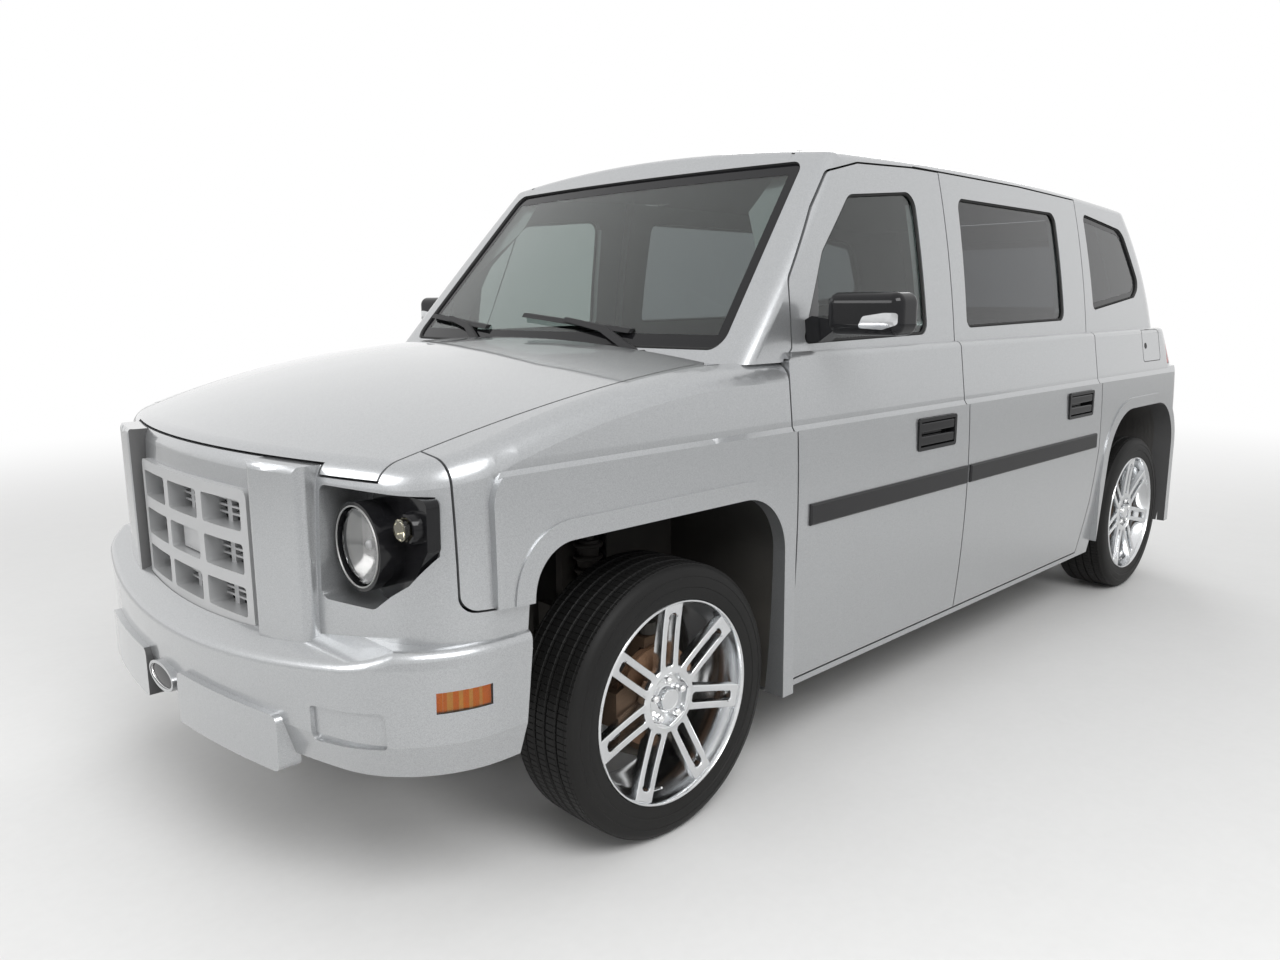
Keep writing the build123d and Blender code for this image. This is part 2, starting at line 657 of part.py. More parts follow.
TAIL_HINGE_Z = 1931
TAIL_HINGE_Y = (-380, 380)
TAIL_HINGE_LEAN = 37
TAIL_HINGE_OUT = 11
ROOF_SPLIT_Y = 690


def widened(rows, margin, low, high):
    """A YZ table grown outward by a margin, past a low and a high level."""
    grown_rows = []
    for y, z, radius in rows:
        up = margin if z > high else -margin if z < low else 0
        grown_rows.append((y + (margin if y > 0 else -margin), z + up, radius))
    return grown_rows


def tail_lamp_form(margin):
    """The left tail lamp's outline seen along X, grown by a margin."""
    points = ((1100, 1156 - margin), (1100, 1392 + margin), (806 - margin, 1392 + margin),
              (744 - margin, 1262), (744 - margin, 1156 - margin))
    return front_prism(points, -3000, -2290 + margin, {2: 20, 3: 30, 4: 16})


def inner_form(inset):
    """The rear quarter's whole inner form at one inset, below and above the belt."""
    return (lower_wall(inset) & block(-3000, 0, -1100, 1100, 1000, BELT_Z)) + greenhouse(inset)


def glass_holes():
    tail = front_cut(widened(TAILGATE, SHUT_GAP, 700, 1900), -3000, -1900)
    return tail + front_cut(WINDSCREEN, 500, 1500)


def side_frame(shell):
    """The left body side: posts, sill, quarter panel and roof rail with the door openings between."""
    sill_top = DOOR_LOW_Z - SHUT_GAP
    sill = (lower_wall(SIDE_WALL - 6) - lower_wall(POST_IN)) & block(-1330, FIREWALL_X, 0, 1300, SILL_Z, sill_top)
    form = shell.left + shell.post + sill - opening_forms()
    low = (lower_wall(PILLAR_OUT) - lower_wall(POST_IN)) & block(-4, 78, 0, 1300, SILL_Z, BELT_Z - 2)
    top = (greenhouse(54) - greenhouse(94)) & block(-4, 70, 0, 1300, BELT_Z - 3, 1990) & roof_form(ROOF_WALL - 4)
    form = form + low + top
    for z in ARM_LEVELS:
        form = form + hinge_arm(FRONT_PIVOT_X, FRONT_GAP_X + 40, z)
        form = form + hinge_arm(REAR_PIVOT_X, B_GAP_X + 30, z)
    form = form - side_cut(QUARTER_WINDOW) - glass_holes()
    form = form - block(-3000, 3000, -100, ROOF_SPLIT_Y + SEAT_GAP, 1850, 2300)
    form = form - block(-3000, 3000, -100, SEAT_GAP / 2, 0, 2300)
    form = form - shell.rear_arch - arch(FRONT_ARCH, FRONT_AXLE_X, WHEELHOUSE_SHEET + SEAT_GAP, 300, 1200)
    form = form - (tail_lamp_form(SEAT_GAP) - inner_form(30))
    return form


def tail_skin_x(y):
    """Where the rear skin lies at the tailgate hinge's height."""
    probe = greenhouse(0) & rod((-3000, y, TAIL_HINGE_Z), (-1000, y, TAIL_HINGE_Z), 0.5)
    return probe.bounding_box().min.X


def tail_hinge(y, leaf_up):
    """Half of a tailgate hinge outside the skin, with its leaf above or below the axis."""
    leaf_z = (4, 42) if leaf_up else (-42, -4)
    web_z = (0, 12) if leaf_up else (-12, 0)
    form = None
    for y0, y1 in ((-12, 12),) if leaf_up else ((-32, -12.5), (12.5, 32)):
        part = block(-7, 8, y0, y1, *leaf_z) + block(-TAIL_HINGE_OUT - 2, -1, y0, y1, *web_z)
        part = part + rod((-TAIL_HINGE_OUT, y0, 0), (-TAIL_HINGE_OUT, y1, 0), 8)
        form = part if form is None else form + part
    if leaf_up:
        form = form + rod((-TAIL_HINGE_OUT, -30, 0), (-TAIL_HINGE_OUT, 30, 0), PIN_R)
    else:
        form = form - rod((-TAIL_HINGE_OUT, -60, 0), (-TAIL_HINGE_OUT, 60, 0), PIN_R + RUNNING_GAP)
    return Pos(tail_skin_x(y), y, TAIL_HINGE_Z) * (Rotation(0, TAIL_HINGE_LEAN, 0) * form)


def tail_axis_point():
    """Where the tailgate's hinge axis runs, in X and Z."""
    lean = radians(TAIL_HINGE_LEAN)
    skin_x = tail_skin_x(TAIL_HINGE_Y[1])
    return skin_x - TAIL_HINGE_OUT * cos(lean), TAIL_HINGE_Z + TAIL_HINGE_OUT * sin(lean)


def roof_panel(shell):
    half = shell.left & block(-3000, 3000, -1, ROOF_SPLIT_Y, 1850, 2300)
    form = half + mirrored(half) - glass_holes()
    form = max(form.solids(), key=lambda s: s.volume)
    for y in TAIL_HINGE_Y:
        form = form + tail_hinge(y, True)
    return form


def tailgate(shell):
    half = shell.left & block(-3000, -1900, -1, 1300, 0, 2300) & front_cut(TAILGATE, -3000, -1900)
    form = half + mirrored(half) - front_cut(TAILGATE_WINDOW, -3000, -1900)
    form = max(form.solids(), key=lambda s: s.volume)
    for y in TAIL_HINGE_Y:
        form = form + tail_hinge(y, False)
    return form


def pane(shell, rows, x0, x1):
    """A window pane seen along X, seated just inside its opening."""
    points, radii = outline(rows)
    wire = make_face(Polyline(*[(0, y, z) for y, z in points], close=True))
    for index, radius in radii.items():
        corner = Vector(0, *points[index])
        vertex = min(wire.vertices(), key=lambda v: (Vector(*v) - corner).length)
        wire = fillet([vertex], radius)
    wire = offset(wire, amount=-SEAT_GAP, kind=Kind.INTERSECTION)
    return shell.glass & (Pos(x0, 0, 0) * extrude(wire, x1 - x0, dir=(1, 0, 0)))


# Chassis. The rails drop under the cabin and rise over both axles.
RAIL_PATH = ((2380, 400), (1330, 400), (1190, FRAME_LOW), (-1350, FRAME_LOW), (-1540, 480), (-2450, 480))
RAIL_TOP = ((-2450, 560), (-1512, 560), (-1342, FRAME_TOP), (1184, FRAME_TOP), (1298, 480), (2380, 480))
# Cross members. Columns: X, half length along X, low Z, high Z.
CROSS_MEMBERS = (
    (2340, 30, 404, 470),
    (1575, 60, 330, 396),
    (620, 28, 190, 222),
    (-260, 28, 190, 222),
    (-1120, 28, 190, 222),
    (-1640, 30, 486, 550),
    (-2425, 24, 486, 550),
)


def chassis_frame():
    form = None
    for side in (-1, 1):
        low = side * FRAME_HALF - RAIL_WIDTH / 2
        rail = side_prism(RAIL_PATH + RAIL_TOP, low, low + RAIL_WIDTH)
        form = rail if form is None else form + rail
    reach = FRAME_HALF - RAIL_WIDTH / 2 + 6
    for x, half, z0, z1 in CROSS_MEMBERS:
        if z1 < FRAME_LOW:
            member = block(x - half, x + half, -FRAME_HALF - 30, FRAME_HALF + 30, z0, z1)
            for side in (-1, 1):
                member = member + block(x - half, x + half, side * FRAME_HALF - 20, side * FRAME_HALF + 20,
                                        z1 - 1, FRAME_LOW + 10)
        else:
            member = block(x - half, x + half, -reach, reach, z0, z1)
            if z1 < 400:
                for side in (-1, 1):
                    member = member + block(x - half, x + half, side * FRAME_HALF - 36, side * FRAME_HALF + 36,
                                            z0, 410)
        form = form + member
    return form + bumper_beam()


BEAM_Z = (440, 500)
BEAM_HALF = 640
BEAM_WALL = 44


def bumper_beam():
    """A curved beam behind the front bumper, on two horns from the frame rails."""
    back = BUMPER_WALL + SEAT_GAP
    inside = bumper_form(back, *BEAM_Z)
    form = (inside - bumper_form(back + BEAM_WALL, 0, 900)) & block(2300, 2700, -BEAM_HALF, BEAM_HALF, *BEAM_Z)
    for side in (-1, 1):
        middle = side * FRAME_HALF
        horn = block(2370, 2640, middle - RAIL_WIDTH / 2, middle + RAIL_WIDTH / 2, BEAM_Z[0] + 4, 476)
        form = form + (horn & inside)
    return form


TUNNEL_HALF = 190
TUNNEL_TOP = 560
TUNNEL_REAR_X = 560
RISER_X = -1330
WHEELHOUSE_IN = 700
WHEELHOUSE_FRONT_IN = 524
WHEELHOUSE_SHEET = 6
TAIL_CLEARANCE = 6
AXLE_ROOM = 110


def floor_pan():
    """The cabin floor, its tunnel, the raised rear floor and the rear wheelhouse tubs."""
    sheet = FLOOR_SHEET
    inner = lower_wall(POST_IN + SEAT_GAP)
    low = block(RISER_X, FIREWALL_X - SEAT_GAP, -1000, 1000, FLOOR_TOP - sheet, FLOOR_TOP) & inner
    low = low - block(TUNNEL_REAR_X, 1300, -TUNNEL_HALF, TUNNEL_HALF, 200, 400)
    tunnel = block(TUNNEL_REAR_X - sheet, FIREWALL_X - SEAT_GAP, -TUNNEL_HALF - sheet, TUNNEL_HALF + sheet,
                   FLOOR_TOP - sheet, TUNNEL_TOP + sheet)
    tunnel = tunnel - block(TUNNEL_REAR_X, 1300, -TUNNEL_HALF, TUNNEL_HALF, 200, TUNNEL_TOP)
    half = WHEELHOUSE_IN
    riser = block(RISER_X - sheet, RISER_X, -half, half, FLOOR_TOP - sheet, REAR_FLOOR_TOP)
    rear = block(-2490, RISER_X, -half, half, REAR_FLOOR_TOP - sheet, REAR_FLOOR_TOP)
    shelf = block(-2490, -2345, -870, 870, REAR_FLOOR_TOP - sheet, REAR_FLOOR_TOP)
    form = low + tunnel + riser + ((rear + shelf) & lower_wall(SIDE_WALL + TAIL_CLEARANCE))
    footwell = arch(FRONT_ARCH, FRONT_AXLE_X, sheet + SEAT_GAP, WHEELHOUSE_FRONT_IN - SEAT_GAP, 1200)
    form = form - footwell - mirrored(footwell)
    tub = arch(REAR_ARCH, REAR_AXLE_X, WHEELHOUSE_SHEET, half - sheet, 1100)
    room = arch(REAR_ARCH, REAR_AXLE_X, 0, half, 1100)
    tub = (tub - room) & block(-2400, RISER_X + 90, 0, 1100, FLOOR_TOP - sheet, 1100)
    tub = tub & lower_wall(SIDE_WALL + SEAT_GAP)
    tub = tub - block(REAR_AXLE_X - AXLE_ROOM, REAR_AXLE_X + AXLE_ROOM, half - 20, half + 20, 200, 540)
    return form + tub + mirrored(tub)


def firewall():
    inner = lower_wall(POST_IN + SEAT_GAP)
    wall = block(FIREWALL_X, FIREWALL_X + 6, -1000, 1000, FLOOR_TOP - FLOOR_SHEET, 1290) & inner
    wall = wall - block(1000, 1300, -TUNNEL_HALF - 7, TUNNEL_HALF + 7, 200, TUNNEL_TOP + 7)
    footwell = arch(FRONT_ARCH, FRONT_AXLE_X, WHEELHOUSE_SHEET + SEAT_GAP, WHEELHOUSE_FRONT_IN - SEAT_GAP, 1200)
    wall = wall - footwell - mirrored(footwell)
    tray = block(FIREWALL_X, HOOD_REAR_X - 5, -850, 850, 1290, SCREEN_BASE_Z - SEAT_GAP)
    form = wall + tray
    x, z = HOOD_AXIS
    for y in HOOD_EAR_Y:
        for side in (-1, 1):
            middle = y + side * 16.3
            cheek = block(x - 9, x + 9, middle - 4, middle + 4, 1300, z)
            cheek = cheek + rod((x, middle - 4, z), (x, middle + 4, z), 9)
            form = form + cheek
        form = form + rod((x, y - 18, z), (x, y + 18, z), PIN_R)
    return form


WHEELHOUSE_LOW_Z = 446


def front_wheelhouse():
    """The left inner wheelhouse, open where the suspension passes."""
    inner_y = WHEELHOUSE_FRONT_IN
    outer = arch(FRONT_ARCH, FRONT_AXLE_X, WHEELHOUSE_SHEET, inner_y, 1100)
    inner = arch(FRONT_ARCH, FRONT_AXLE_X, 0, inner_y + WHEELHOUSE_SHEET, 1200)
    form = (outer - inner) & block(1000, 2180, 0, 1100, FLOOR_TOP - FLOOR_SHEET, 1100)
    behind = lower_wall(SKIN + SEAT_GAP) & block(1000, 2036, 0, 1100, 0, 1100)
    ahead = lower_wall(FASCIA_WALL + SEAT_GAP) & block(2036, 2300, 0, 1100, 0, 1100)
    form = form & (behind + ahead)
    form = form - (bumper_form(-SEAT_GAP, 100, 800) - bumper_form(BUMPER_WALL + SEAT_GAP, 100, 800))
    form = form - block(FRONT_AXLE_X - 150, FRONT_AXLE_X + 150, 500, inner_y + 11, 100, 900)
    form = form - block(1900, 2300, 0, 1100, 0, WHEELHOUSE_LOW_Z)
    return max(form.solids(), key=lambda s: s.volume)


# Engine and gearbox as one plain stepped block. Columns: x0, x1, half width, z0, z1.
POWERTRAIN = ((1262, 1930, 262, 396 + SEAT_GAP, 950), (640, 1262, 136, 244, 520))
PROP_SHAFT = ((640 - SEAT_GAP, 0, 262), (-1352, 0, 262), (-1660, 0, 372))


def powertrain_block():
    form = None
    for x0, x1, half, z0, z1 in POWERTRAIN:
        part = block(x0, x1, -half, half, z0, z1)
        part = chamfer(part.edges().filter_by(Axis.X), 34)
        form = part if form is None else form + part
    return form


def rear_axle():
    """The live rear axle with its differential, springs and prop shaft."""
    x = REAR_AXLE_X
    form = rod((x, -712, WHEEL_Z), (x, 712, WHEEL_Z), 42)
    ball = Pos(x, 0, WHEEL_Z) * Sphere(138)
    nose = rod((x, 0, WHEEL_Z), (x + 226, 0, WHEEL_Z - 22), 62)
    form = form + ball + nose
    for side in (-1, 1):
        spring = leaf_spring(side * FRAME_HALF)
        form = form + spring
        form = form + rod((x, side * 700, WHEEL_Z), (x, side * 948, WHEEL_Z), 20)
    start, joint, end = PROP_SHAFT
    form = form + rod(start, joint, 32) + Pos(*joint) * Sphere(36) + rod(joint, end, 32)
    return form


SPRING_REACH = 330
SPRING_LOW_Z = 340
SPRING_EYE_Z = 416


def leaf_spring(y):
    """A stack of leaves below the axle, with hangers up to the frame rail."""
    form = None
    for index, (reach, depth) in enumerate(((SPRING_REACH, 10), (240, 10), (150, 10))):
        z0 = SPRING_LOW_Z - index * 10
        rise = (SPRING_EYE_Z - SPRING_LOW_Z) * (reach / SPRING_REACH) ** 2
        top = ThreePointArc((REAR_AXLE_X - reach, 0, z0 + rise), (REAR_AXLE_X, 0, z0),
                            (REAR_AXLE_X + reach, 0, z0 + rise))
        low = ThreePointArc((REAR_AXLE_X + reach, 0, z0 + rise - depth - 0.5), (REAR_AXLE_X, 0, z0 - depth - 0.5),
                            (REAR_AXLE_X - reach, 0, z0 + rise - depth - 0.5))
        face = make_face(Curve() + [top, Line(top @ 1, low @ 0), low, Line(low @ 1, top @ 0)])
        leaf = Pos(0, y - 30, 0) * extrude(face, 60, dir=(0, 1, 0))
        form = leaf if form is None else form + leaf
    seat = block(REAR_AXLE_X - 50, REAR_AXLE_X + 50, y - 34, y + 34, SPRING_LOW_Z - 6, WHEEL_Z)
    form = form + seat
    for x in (REAR_AXLE_X + SPRING_REACH, REAR_AXLE_X - SPRING_REACH):
        form = form + rod((x, y - 30, SPRING_EYE_Z), (x, y + 30, SPRING_EYE_Z), 18)
        form = form + block(x - 12, x + 12, y - 30, y + 30, SPRING_EYE_Z, 480 - SEAT_GAP)
    return form


FUEL_TANK = (-2401 + SEAT_GAP, -2080, -262, 420, 322, 556)
EXHAUST_Y = -366
# Exhaust centre line from the engine's side over the rear axle. Columns: X, Y, Z.
EXHAUST = (
    (1460, -262 - SEAT_GAP, 560),
    (1460, EXHAUST_Y, 560),
    (1460, EXHAUST_Y, 262),
    (-1690, EXHAUST_Y, 262),
    (-1830, EXHAUST_Y, 520),
    (-2000, EXHAUST_Y, 520),
    (-2150, EXHAUST_Y, 248),
    (-2560, EXHAUST_Y, 248),
)


def exhaust():
    """A single system on the right, with a flat silencer under the floor."""
    path = FilletPolyline(*EXHAUST, radius=70)
    pipe = sweep(Plane(origin=EXHAUST[0], z_dir=(0, -1, 0)) * Circle(26), path=path)
    silencer = rounded_block(-900, -380, EXHAUST_Y - 52, EXHAUST_Y + 118, 214, FRAME_TOP - 1, 30)
    return pipe + silencer


KINGPIN_Y = 860
BALL_LEVELS = (206, 590)
KNUCKLE_IN = 820
KNUCKLE_OUT = 884
KNUCKLE_FACE = 862
CALIPER_OUT = 912


def front_suspension():
    """The left front arms and coil-over leg, fixed at ride height."""
    x = FRONT_AXLE_X
    form = None
    for z, inner_y, spread in ((BALL_LEVELS[0], 470, 130), (BALL_LEVELS[1], 560, 84)):
        for side in (-1, 1):
            leg = rod((x + side * spread, inner_y, z), (x, KINGPIN_Y, z), 15)
            form = leg if form is None else form + leg
        form = form + Pos(x, KINGPIN_Y, z) * Cylinder(24, 34)
        form = form + rod((x - spread - 24, inner_y, z), (x + spread + 24, inner_y, z), 20)
        top = z + 34 if z < WHEEL_Z else z - 34
        form = form + rod((x, KINGPIN_Y, z), (x, KINGPIN_Y, top), 9)
    for side in (-1, 1):
        foot = side * 110
        form = form + block(x + foot - 20, x + foot + 20, FRAME_HALF - 34, FRAME_HALF + 34, 200, 399.7)
        form = form + block(x + side * 90 - 16, x + side * 90 + 16, 500, 576, 480.3, 610)
        form = form + block(x + side * 90 - 16, x + side * 90 + 16, 446, 576, 480.3, 500)
    leg_y = 610
    form = form + rod((x, leg_y, 206), (x, leg_y, 880), 17)
    rings = None
    for index in range(7):
        ring = Pos(x, leg_y, 560 + index * 38) * Torus(38, 7)
        form = form + ring
    seat = Pos(x, leg_y, 545) * Cylinder(48, 12)
    sleeve = Pos(x, leg_y, 672) * Cylinder(33, 262)
    tower = block(x - 60, x + 60, 531, 672, 868, 900)
    bracket = block(x - 60, x + 60, 531, 560, 600, 880)
    return form + seat + sleeve + tower + bracket


def knuckle():
    """The left steering knuckle, carried on the two ball pins, with the wheel spindle."""
    x = FRONT_AXLE_X
    low, high = BALL_LEVELS
    body = side_prism(((x - 34, low + 20), (x + 34, low + 20), (x + 60, WHEEL_Z), (x + 34, high - 20),
                       (x - 34, high - 20), (x - 60, WHEEL_Z)), KNUCKLE_IN, KNUCKLE_OUT)
    arm = side_prism(((x - 40, WHEEL_Z - 60), (x - 40, WHEEL_Z - 20), (x - 190, WHEEL_Z - 40),
                      (x - 190, WHEEL_Z - 70)), KNUCKLE_IN, KNUCKLE_IN + 24)
    body = body - rod((x, KNUCKLE_FACE, WHEEL_Z), (x, KNUCKLE_OUT + 10, WHEEL_Z), DISC_R + 5)
    spindle = rod((x, KNUCKLE_FACE - 4, WHEEL_Z), (x, 948, WHEEL_Z), 20)
    caliper = side_prism(((x + 92, WHEEL_Z - 52), (x + 120, WHEEL_Z - 66), (x + 172, WHEEL_Z - 46),
                          (x + 172, WHEEL_Z + 56), (x + 120, WHEEL_Z + 78), (x + 92, WHEEL_Z + 54)),
                         KNUCKLE_FACE - 24, CALIPER_OUT)
    caliper = caliper - block(x + 40, x + 157, DISC_Y[0] - 3, DISC_Y[1] + 3, 200, 600)
    form = body + arm + spindle
    bridge = block(x + 40, x + 110, KNUCKLE_IN, KNUCKLE_FACE, WHEEL_Z - 50, WHEEL_Z + 50)
    form = form + bridge + caliper
    for z, reach in ((low, 1), (high, -1)):
        bore = rod((x, KINGPIN_Y, z), (x, KINGPIN_Y, z + reach * 38), 9 + RUNNING_GAP)
        form = form - bore
    return form


DISC_Y = (878, 896)
DISC_R = 145


HUB_Y = 930
SPOKE_PAIRS = 7
SPOKE_OUT_R = RIM_RADIUS - 32
HUB_R = 82
LUG_CIRCLE_R = 57.15
LUG_COUNT = 5
TYRE_Y = RIM_FACE_Y - TYRE_WIDTH / 2 + 3


def tyre():
    """A low-profile tyre about the Y axis through the origin, its outer side towards +Y."""
    half = TYRE_WIDTH / 2
    sect = Polyline((0, -half + 14, RIM_RADIUS - 26), (0, -half + 4, RIM_RADIUS + 8))
    side = ThreePointArc((0, -half + 4, RIM_RADIUS + 8), (0, -half, RIM_RADIUS + 46), (0, -half + 12, TYRE_RADIUS - 14))
    shoulder = ThreePointArc((0, -half + 12, TYRE_RADIUS - 14), (0, -half + 18, TYRE_RADIUS - 6),
                             (0, -half + 30, TYRE_RADIUS - 2))
    tread = ThreePointArc((0, -half + 30, TYRE_RADIUS - 2), (0, 0, TYRE_RADIUS), (0, half - 30, TYRE_RADIUS - 2))
    shoulder2 = ThreePointArc((0, half - 30, TYRE_RADIUS - 2), (0, half - 18, TYRE_RADIUS - 6),
                              (0, half - 12, TYRE_RADIUS - 14))
    side2 = ThreePointArc((0, half - 12, TYRE_RADIUS - 14), (0, half, RIM_RADIUS + 46), (0, half - 4, RIM_RADIUS + 8))
    inner = Polyline((0, half - 4, RIM_RADIUS + 8), (0, half - 14, RIM_RADIUS - 26), (0, half - 44, RIM_RADIUS - 26),
                     (0, half - 50, RIM_RADIUS - 8), (0, -half + 50, RIM_RADIUS - 8), (0, -half + 44, RIM_RADIUS - 26),
                     (0, -half + 14, RIM_RADIUS - 26))
    face = make_face(Curve() + [sect, side, shoulder, tread, shoulder2, side2, inner])
    return Pos(0, TYRE_Y, 0) * revolve(face, Axis((0, 0, 0), (0, 1, 0)))


def rim():
    """A polished alloy rim with seven twin spokes, its brake disc behind, about the Y axis."""
    half = TYRE_WIDTH / 2
    lip = RIM_FACE_Y - TYRE_Y
    outer = ((lip - 2, RIM_RADIUS), (lip, RIM_RADIUS - 6), (lip - 4, RIM_RADIUS - 19), (lip - 11, RIM_RADIUS - 32),
             (lip - 60, RIM_RADIUS - 37), (-half + 30, RIM_RADIUS - 37), (-half + 6, RIM_RADIUS - 40),
             (-half + 1, RIM_RADIUS - 30), (-half + 1, RIM_RADIUS - 4), (-half + 5, RIM_RADIUS - 2),
             (-half + 13.7, RIM_RADIUS - 26.3),
             (-half + 44.3, RIM_RADIUS - 26.3), (-half + 50.3, RIM_RADIUS - 8.3), (half - 50.3, RIM_RADIUS - 8.3),
             (half - 44.3, RIM_RADIUS - 26.3), (half - 13.7, RIM_RADIUS - 26.3), (half - 6, RIM_RADIUS - 2))
    face = make_face(Polyline(*[(0, TYRE_Y + y, r) for y, r in outer], close=True))
    form = revolve(face, Axis((0, 0, 0), (0, 1, 0)))
    hub = rod((0, DISC_Y[0] - 6, 0), (0, HUB_Y + 20, 0), HUB_R)
    hub = hub - rod((0, HUB_Y + 12, 0), (0, HUB_Y + 60, 0), LUG_CIRCLE_R + 17)
    cap = rod((0, HUB_Y, 0), (0, HUB_Y + 24, 0), 32)
    form = form + hub + cap
    for k in range(LUG_COUNT):
        a = 2 * pi * k / LUG_COUNT
        x, z = LUG_CIRCLE_R * sin(a), LUG_CIRCLE_R * cos(a)
        form = form + rod((x, HUB_Y + 4, z), (x, HUB_Y + 25, z), 9.5)
    for k in range(SPOKE_PAIRS):
        turn = 360 * k / SPOKE_PAIRS
        for side in (-1, 1):
            spoke = twin_spoke(side)
            form = form + (Rotation(0, turn, 0) * spoke)
    form = form + rod((0, DISC_Y[0], 0), (0, DISC_Y[1], 0), DISC_R)
    bore = rod((0, 800, 0), (0, 948 + RUNNING_GAP, 0), 20 + RUNNING_GAP)
    return form - bore


def twin_spoke(side):
    """One of a pair of spokes, bowed inward from the rim's face to the hub."""
    root = Plane(origin=(side * 19, HUB_Y + 2, HUB_R - 14), z_dir=(0, 0, 1)) * Rectangle(15, 26)
    tip_y = RIM_FACE_Y - 22
    tip = Plane(origin=(side * 37, tip_y, SPOKE_OUT_R), z_dir=(0, 0, 1)) * Rectangle(19, 22)
    middle = Plane(origin=(side * 27, HUB_Y + 8, (HUB_R + SPOKE_OUT_R) / 2 - 8), z_dir=(0, 0, 1)) * Rectangle(14, 24)
    return loft([root, middle]) + loft([middle, tip])


def placed(form, axle_x, side):
    """Set a wheel part at one corner of the vehicle."""
    if side < 0:
        form = Rotation(0, 0, 180) * form
    return Pos(axle_x, 0, WHEEL_Z) * form


GRILLE_ROWS = 3
GRILLE_COLUMNS = 3
GRILLE_FRAME = 30
GRILLE_BAR = 34
GRILLE_DEPTH = 62
LOUVRE_PITCH = 19


def nose_slab(proud, depth, z0, z1):
    """A slab that follows the nose's plan bow between two heights."""
    outer = plan_outline(z0, 984, 984, NOSE_X + proud, -1000, NOSE_BOW, 30, NOSE_CORNER, 60)
    inner = plan_outline(z0, 984, 984, NOSE_X + proud - depth, -1000, NOSE_BOW, 30, NOSE_CORNER, 60)
    slab = extrude(outer, z1 - z0) - extrude(inner, z1 - z0)
    return slab & block(2200, 2700, -900, 900, z0, z1)


def grille_cells():
    """The centre, width and height of each cell."""
    width = (2 * GRILLE_HALF_Y - 2 - 2 * GRILLE_FRAME - (GRILLE_COLUMNS - 1) * GRILLE_BAR) / GRILLE_COLUMNS
    height = (GRILLE_HIGH_Z - GRILLE_LOW_Z - 2 - 2 * GRILLE_FRAME - (GRILLE_ROWS - 1) * GRILLE_BAR) / GRILLE_ROWS
    cells = []
    for column in range(GRILLE_COLUMNS):
        y = (column - (GRILLE_COLUMNS - 1) / 2) * (width + GRILLE_BAR)
        for row in range(GRILLE_ROWS):
            z = GRILLE_LOW_Z + 1 + GRILLE_FRAME + height / 2 + row * (height + GRILLE_BAR)
            cells.append((y, z, width, height))
    return cells


def grille():
    """The egg-crate grille: a bowed frame and bars with a bank of louvres deep in every cell."""
    edge = SEAT_GAP
    face = block(2200, 2700, -GRILLE_HALF_Y + edge, GRILLE_HALF_Y - edge, GRILLE_LOW_Z + edge, GRILLE_HIGH_Z - edge)
    face = fillet(face.edges().filter_by(Axis.X), 23)
    slab = nose_slab(10, GRILLE_DEPTH, GRILLE_LOW_Z, GRILLE_HIGH_Z) & face
    bank = nose_slab(10 - GRILLE_DEPTH + 14, 14, GRILLE_LOW_Z, GRILLE_HIGH_Z) & face
    for y, z, width, height in grille_cells():
        cell = block(2200, 2700, y - width / 2, y + width / 2, z - height / 2, z + height / 2)
        slab = slab - fillet(cell.edges().filter_by(Axis.X), 10)
    louvres = []
    for y, z, width, height in grille_cells():
        count = int((height - 8) // LOUVRE_PITCH)
        for k in range(count):
            low = z + (k - (count - 1) / 2) * LOUVRE_PITCH - 3
            louvres.append(block(2200, 2700, y - width / 2 - 3, y + width / 2 + 3, low, low + 6))
        for post in (-0.22, 0.22):
            middle = y + post * width
            louvres.append(block(2200, 2700, middle - 12, middle + 12, z - height / 2 - 3, z + height / 2 + 3))
    inserts = louvres[0]
    inserts = inserts + louvres[1:]
    form = slab + (inserts & bank)
    y, z, width, height = grille_cells()[(GRILLE_COLUMNS // 2) * GRILLE_ROWS + GRILLE_ROWS // 2]
    plate = block(2200, 2700, y - width / 2 + 26, y + width / 2 - 26, z - height / 2 + 4, z + height / 2 - 4)
    plate = plate & nose_slab(-16, 26, GRILLE_LOW_Z, GRILLE_HIGH_Z)
    return form + plate


def headlamp_housing():
    """The left black lamp housing, seated in the fascia's recess, with a round lamp barrel."""
    shape = ((728, 1083, 20), (696, 1000, 0), (700, 890, 0), (742, 821, 20), (794, 817, 20), (839, 853, 10),
             (883, 884, 10), (942, 962, 12), (944, 1075, 18))
    plate = front_cut(shape, RECESS_FLOOR_X + SEAT_GAP, RECESS_FLOOR_X + 34)
    floor_x = RECESS_FLOOR_X + SEAT_GAP
    form = plate + rod((floor_x, LAMP_Y, LAMP_Z), (RECESS_FLOOR_X + 96, LAMP_Y, LAMP_Z), LAMP_R + 12)
    form = form - rod((RECESS_FLOOR_X + 20, LAMP_Y, LAMP_Z), (2500, LAMP_Y, LAMP_Z), LAMP_R)
    return form


def headlamp_lens():
    x = RECESS_FLOOR_X + 70 + SEAT_GAP
    y = LAMP_Y
    disc = rod((x, y, LAMP_Z), (x + 18, y, LAMP_Z), LAMP_R - SEAT_GAP)
    return fillet(disc.edges().sort_by(Axis.X)[-1], 12)


AMBER = (2344, 893, 1010)


def amber_lamps():
    """The left front corner lamp and side marker."""
    x, y, z = AMBER
    lamp = rod((RECESS_FLOOR_X + 34 + SEAT_GAP, y, z), (x + 26, y, z), 25)
    return fillet(lamp.edges().sort_by(Axis.X)[-1], 5)


MARKER = (2212, 2338, 596, 646)


def side_marker(shell_form, inset):
    x0, x1, z0, z1 = MARKER
    reach = block(x0, x1, 900, 1100, z0, z1)
    return (shell_form & reach) - inset


